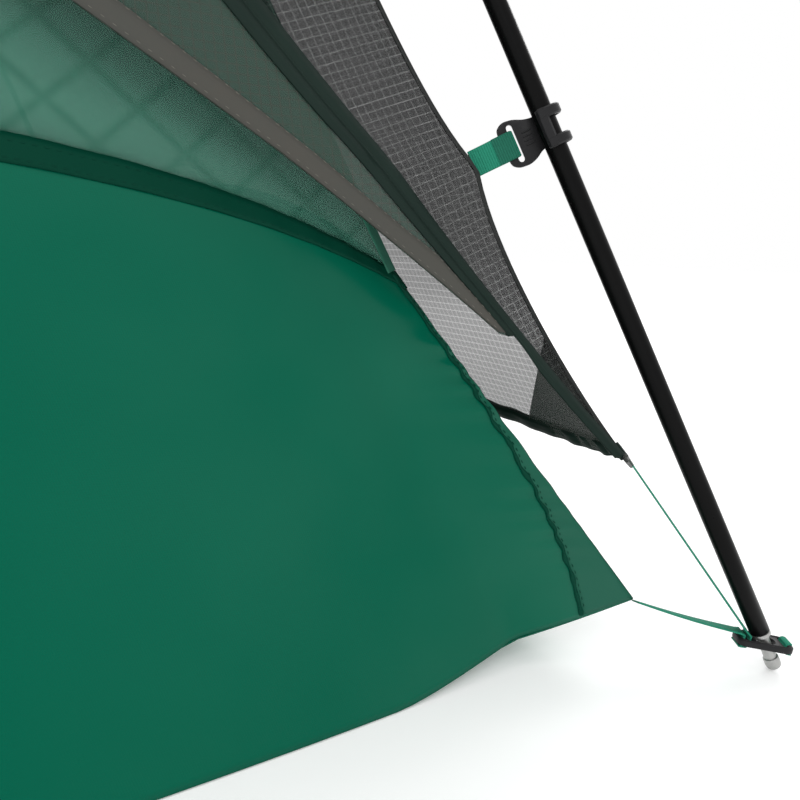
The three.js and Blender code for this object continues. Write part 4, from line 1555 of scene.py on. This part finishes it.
class ShelterInnerTent(bpy.types.Operator):
    """Inner walls, their seams, and the zipped inner door"""

    bl_idname = "shelter.inner_tent"
    bl_label = "Inner tent"

    def execute(self, context):
        def front_cut(u, v):
            point = front_surface(u, v)
            return slanted(point.x, point.z * 1.1)

        front = panel(
            "inner_front", front_surface, 150, 26, front_cut, "inner", "root",
            ["inner_wall_front"],
        )
        declare(front, 0)
        for which, face, half, sign in (
            ("back", side_face, TUB_TOP[0], 1), ("right", end_face, TUB_TOP[1], 1),
            ("left", end_face, TUB_TOP[1], -1),
        ):
            wall = panel(
                "inner_" + which, inner_surface(face, half, sign), 70, 56, inner_cut(half),
                "inner", "root", ["inner_wall_" + which],
            )
            declare(wall, 0 if which == "back" else 1)
        door = panel(
            "inner_door_panel", inner_door_surface, 48, 40,
            lambda u, v: slanted(u * 2 * DOOR_HALF, v * 0.57), "inner", "inner_door",
            ["inner_door"],
        )
        declare(door, 0)
        make_inner_zip()
        for corner in CORNERS:
            make_inner_hip(corner)
        at = side_face(-1, DOOR_HALF - 20 * MM, DOOR_SILL - 1.5 * MM, INNER_DROP)
        outward = Vector((0, -math.sin(ARC_ANGLE), math.cos(ARC_ANGLE) * math.sin(DIAGONAL)))
        outward.normalize()
        make_slider(
            "inner_puller", at + outward * 3.8 * MM, Vector((-1, 0, 0)), outward,
            "inner_slider", "inner_slider",
        )
        return {"FINISHED"}


# ---- Bathtub floor ----


def seam_reach(w):
    """How far from the crease the corner seam lies, from the rim (w = 1) to the ground."""
    return 3 * MM + 21 * MM * (1 - w) ** 3


def tub_point(axis, sign, side, w):
    base, top = TUB_BASE[axis], TUB_TOP[axis]
    from_corner = base * (1 - abs(side))
    edge = side_edge(side * base) if axis == 0 else end_edge(side * base)
    rim_inward, rim_height, _ = leg_at(tub_edge(top * (1 - abs(side))), INNER_DROP)
    turned = math.sin(DIAGONAL) if axis == 0 else math.cos(DIAGONAL)
    rim_out = (HALF_WIDTH if axis == 0 else HALF_LENGTH) - rim_inward * turned
    across, out = side * mix(base, top, w), mix(edge, rim_out, w)
    z = mix(0.6 * MM + corner_lift(from_corner), rim_height, w)
    if axis == 0:
        return Vector((-sign * across, sign * out, z))
    return Vector((sign * out, sign * across, z))


def tub_slack(point, axis, sign, side, w):
    """Soft folds of the wall, and the puckers along its sewn corner seams."""
    from_crease = (1 - abs(side)) * mix(TUB_BASE[axis], TUB_TOP[axis], w)
    hung = math.sin(math.pi * clamped(w)) * clamped(from_crease / (40 * MM))
    shift = (ripple(point, 9.0, 5.0 * MM, 3.0) + ripple(point, 26.0, 1.6 * MM, 8.0)) * hung
    beside = abs(from_crease - seam_reach(w)) if axis == 0 else from_crease + seam_reach(w)
    beat = math.sin(point.z * 2 * math.pi / (13 * MM) + 2.5 * math.sin(point.z * 90))
    shift += 1.5 * MM * beat * math.exp(-beside / (9 * MM)) * math.sin(math.pi * clamped(w))
    drag = math.exp(-from_crease / (150 * MM)) * clamped(from_crease / (25 * MM))
    shift += 2.4 * MM * drag * hung * math.sin(w * 9 + from_crease * 45)
    if axis == 0:
        return point + Vector((0, sign * shift, 0))
    return point + Vector((sign * shift, 0, 0))


def tub_surface(axis, sign):
    def surface(u, v):
        side = (2 * bunched(u) - 1) * (1 - 0.4 * MM / TUB_BASE[axis])
        point = tub_point(axis, sign, side, v)
        return tub_slack(point, axis, sign, side, v)
    return surface


def make_tub_wall(which, axis, sign):
    surface = tub_surface(axis, sign)
    sizes, _ = settings()
    node = "tub_wall_" + which

    def cut(u, v):
        return (2 * bunched(u) - 1) * TUB_BASE[axis], v * 0.27

    wall = panel(
        "tub_" + which, surface, 200, 70, cut, "tub", "root", [node],
        sizes.tub_cloth,
    )
    tall = 0.245

    def band_surface(u, v):
        share = mix(1 - sizes.binding / tall, 1 + 1.6 * MM / tall, v)
        flat = (2 * bunched(u) - 1) * (1 - 0.4 * MM / TUB_BASE[axis])
        point = tub_slack(tub_point(axis, sign, flat, share), axis, sign, flat, min(share, 1))
        out = Vector((0, sign, 0)) if axis == 0 else Vector((sign, 0, 0))
        wave = 0.25 * MM * math.sin(u * 300)
        return point + (out * 0.8 + Vector((0, 0, 0.45))) * (1.0 * MM + wave)

    band = panel(
        "tub_binding_" + which, band_surface, 200, 4, lambda u, v: (u * 2, v * sizes.binding),
        "binding", "root", (), 0.8 * MM,
    )
    mesh = bmesh.new()
    out = (Vector((0, sign, 0)) if axis == 0 else Vector((sign, 0, 0))) * 0.8 + Vector((0, 0, 0.45))
    out.normalize()
    for v in (0.14, 0.72):
        row = [band_surface(i / 400, v) + out * 0.5 * MM for i in range(401)]
        stitch_row(mesh, row, [out] * len(row), sizes.stitch * 1.15, 2.0 * MM, 0.45 * MM)
    seam = finished(mesh, "tub_stitches_" + which, finish_for("tub_thread"), "root")
    declare(wall, axis)
    return wall


def make_corner_strip(corner):
    """The end wall's cloth, lapped round the crease and stitched down beside it."""
    sx, sy = CORNERS[corner]
    rising = -1 if sx * sy > 0 else 1
    sizes, _ = settings()

    def at(w, from_crease, lift):
        side = 1 - max(from_crease, 0.45 * MM) / mix(TUB_BASE[0], TUB_TOP[0], w)
        side *= -sy * sx
        point = tub_slack(tub_point(0, sy, side, w), 0, sy, side, w)
        return point + Vector((0, sy * 0.9, 0.42)) * lift

    def surface(u, v):
        w = 0.985 * v + 0.005
        across = u if rising > 0 else 1 - u
        return at(w, seam_reach(w) * across, 0.85 * MM)

    strip = panel(
        "tub_strip_" + corner, surface, 8, 90, lambda u, v: (u * 0.02, v * 0.26), "strip",
        "root", (), 0.7 * MM,
    )
    mesh = bmesh.new()
    out = Vector((0, sy * 0.9, 0.42)).normalized()
    heights = [0.02 + 0.95 * i / 160 for i in range(161)]
    row = [at(w, seam_reach(w) - 1.2 * MM, 1.5 * MM) for w in heights]
    stitch_row(mesh, row, [out] * len(row), sizes.stitch, 2.0 * MM, 0.5 * MM)
    rolled, thick = [], []
    for i in range(241):
        w = 0.006 + 0.98 * i / 240
        rolled.append(at(w, seam_reach(w) + 0.3 * MM, 0.9 * MM))
        thick.append(0.85 + 0.5 * noise.noise(rolled[-1] * 160) + 0.25 * math.sin(w * 130))
    frames = along_path(rolled, Vector((sx * 0.7, sy * 0.7, 0)), thick)
    joined(mesh, swept(bmesh.new(), circle_ring(1.05 * MM, 8), frames))
    crease = [at(0.002 + 0.996 * i / 60, 0, 0.0) for i in range(61)]
    frames = along_path(crease, Vector((sx * 0.7, sy * 0.7, 0)))
    joined(mesh, swept(bmesh.new(), circle_ring(0.85 * MM, 10), frames))
    finished(mesh, "tub_seam_" + corner, finish_for("tub_thread"), "root")
    return strip


def floor_surface(u, v):
    x, y = 2 * bunched(u) - 1, 2 * bunched(v) - 1
    px = x * (end_edge(y * TUB_BASE[1]) - 0.8 * MM)
    py = y * (side_edge(x * TUB_BASE[0]) - 0.8 * MM)
    away = math.hypot(TUB_BASE[0] - abs(px), TUB_BASE[1] - abs(py))
    fold = abs(ripple(Vector((px, py, 0)), 8.0, 1.2 * MM, 5.0)) * (1 - max(abs(x), abs(y)) ** 8)
    return Vector((px, py, 0.6 * MM + corner_lift(away) + fold))


class ShelterBathtub(bpy.types.Operator):
    """Coated bathtub floor with bound rims and sewn corners"""

    bl_idname = "shelter.bathtub"
    bl_label = "Bathtub floor"

    def execute(self, context):
        sizes, _ = settings()

        def cut(u, v):
            return (2 * bunched(u) - 1) * TUB_BASE[0], (2 * bunched(v) - 1) * TUB_BASE[1]

        ground = panel(
            "tub_floor", floor_surface, 110, 90, cut, "tub", "root",
            ["floor_sheet"], sizes.tub_cloth,
        )
        declare(ground, None)
        for which, axis, sign in (("front", 0, -1), ("back", 0, 1), ("right", 1, 1), ("left", 1, -1)):
            make_tub_wall(which, axis, sign)
        for corner in CORNERS:
            make_corner_strip(corner)
        return {"FINISHED"}


class ShelterPeak(bpy.types.Operator):
    """The patch over the fly's peak and the webbing that hangs it from the hub"""

    bl_idname = "shelter.peak"
    bl_label = "Peak"

    def execute(self, context):
        def roof(x, y, depth):
            away = max(abs(y) / math.sin(DIAGONAL), abs(x) / math.cos(DIAGONAL))
            return ARC_CENTRE_UP + BEND - depth - away * away / (2 * BEND)

        def patch(u, v):
            x, y = (u - 0.5) * 84 * MM, (v - 0.5) * 66 * MM
            return Vector((x, y, roof(x, y, FLY_DROP) + 1.6 * MM))

        piece = panel(
            "peak_patch", patch, 40, 32, lambda u, v: (u * 0.084, v * 0.066), "patch", "root",
            (), 0.9 * MM,
        )
        declare(piece, None)
        top = ARC_CENTRE_UP + BEND - 9.4 * MM
        low = ARC_CENTRE_UP + BEND - FLY_DROP + 2.8 * MM
        path = [
            (-12, low), (-9, low), (-7.4, low + 1.5 * MM), (-6.8, low + 5 * MM), (-6, top - 4 * MM),
            (-3, top - 1.0 * MM), (0, top - 0.7 * MM), (3, top - 1.0 * MM), (6, top - 4 * MM),
            (6.8, low + 5 * MM), (7.4, low + 1.5 * MM), (9, low), (12, low),
        ]
        points = [Vector((x * MM, 0, z)) for x, z in path]
        frames = along_path(points, Vector((0, 1, 0)))
        mesh = swept(bmesh.new(), box_ring(12 * MM, 1.0 * MM), frames)
        finished(mesh, "peak_loop", finish_for("webbing"), "root")
        return {"FINISHED"}


# ---- Stage ----


class ShelterStage(bpy.types.Operator):
    """Pale ground, soft light all round and the camera beside the front right foot"""

    bl_idname = "shelter.stage"
    bl_label = "Stage"

    def execute(self, context):
        _, colours = settings()
        scene = context.scene
        mesh = bmesh.new()
        bmesh.ops.create_grid(mesh, x_segments=1, y_segments=1, size=60)
        paper = Finish("shelter_ground", Roughness=0.9, Emission_Strength=0.16)
        paper.set("Base Color", rgba(colours.floor))
        paper.set("Emission Color", (1.0, 1.0, 1.0, 1.0))
        ground = finished(mesh, "ground", paper.material, None)
        world = bpy.data.worlds.new("studio")
        scene.world = world
        world.use_nodes = True
        world.node_tree.nodes["Background"].inputs["Color"].default_value = (1, 1, 1, 1)
        world.node_tree.nodes["Background"].inputs["Strength"].default_value = 1.0
        for name, at, size, power in (
            ("key", Vector((-1.6, -3.4, 2.9)), 1.6, 46.0),
            ("rim", Vector((3.6, 0.6, 2.4)), 1.4, 30.0),
        ):
            light = bpy.data.lights.new(name, "AREA")
            light.size = size
            light.energy = power
            lamp = bpy.data.objects.new(name, light)
            lamp.location = at
            aim = Vector((1.0, -0.7, 0.3)) - at
            lamp.rotation_euler = aim.to_track_quat("-Z", "Y").to_euler()
            scene.collection.objects.link(lamp)
        lens = bpy.data.cameras.new("camera")
        lens.lens = 34.2
        lens.sensor_width = 36
        lens.clip_start = 0.01
        camera = bpy.data.objects.new("camera", lens)
        heading, pitch, roll = math.radians(58.04), math.radians(10.71), math.radians(2.19)
        forward = Vector((
            math.cos(heading) * math.cos(pitch), math.sin(heading) * math.cos(pitch),
            -math.sin(pitch),
        ))
        right = forward.cross(Vector((0, 0, 1))).normalized()
        up = right.cross(forward)
        turned = Matrix.Rotation(-roll, 3, forward)
        right, up = turned @ right, turned @ up
        at = Vector((HALF_LENGTH - 0.3461, -HALF_WIDTH - 0.1930, 0.1946))
        camera.matrix_world = basis(right, up, -forward, at)
        scene.collection.objects.link(camera)
        scene.camera = camera
        scene.view_settings.view_transform = "Standard"
        return {"FINISHED"}


class ShelterPanel(bpy.types.Panel):
    """The shelter's steps, sizes and colours"""

    bl_idname = "SHELTER_PT_steps"
    bl_label = "Dome shelter"
    bl_space_type = "VIEW_3D"
    bl_region_type = "UI"
    bl_category = "Shelter"

    def draw(self, context):
        for operator in OPERATORS:
            self.layout.operator(operator.bl_idname)
        for group in (context.scene.shelter_sizes, context.scene.shelter_colours):
            for name in group.bl_rna.properties.keys():
                if name not in ("rna_type", "name"):
                    self.layout.prop(group, name)


OPERATORS = (
    ShelterStage, ShelterPoles, ShelterFootPlates, ShelterClips, ShelterTapes, ShelterFly,
    ShelterDoors, ShelterPeak, ShelterInnerTent, ShelterBathtub,
)


def register():
    for kind in (ShelterSizes, ShelterColours, *OPERATORS, ShelterPanel):
        bpy.utils.register_class(kind)
    bpy.types.Scene.shelter_sizes = bpy.props.PointerProperty(type=ShelterSizes)
    bpy.types.Scene.shelter_colours = bpy.props.PointerProperty(type=ShelterColours)


def unregister():
    del bpy.types.Scene.shelter_colours
    del bpy.types.Scene.shelter_sizes
    for kind in reversed((ShelterSizes, ShelterColours, *OPERATORS, ShelterPanel)):
        bpy.utils.unregister_class(kind)


def main():
    register()
    for operator in OPERATORS:
        group, name = operator.bl_idname.split(".")
        getattr(getattr(bpy.ops, group), name)()


if __name__ == "__main__":
    main()
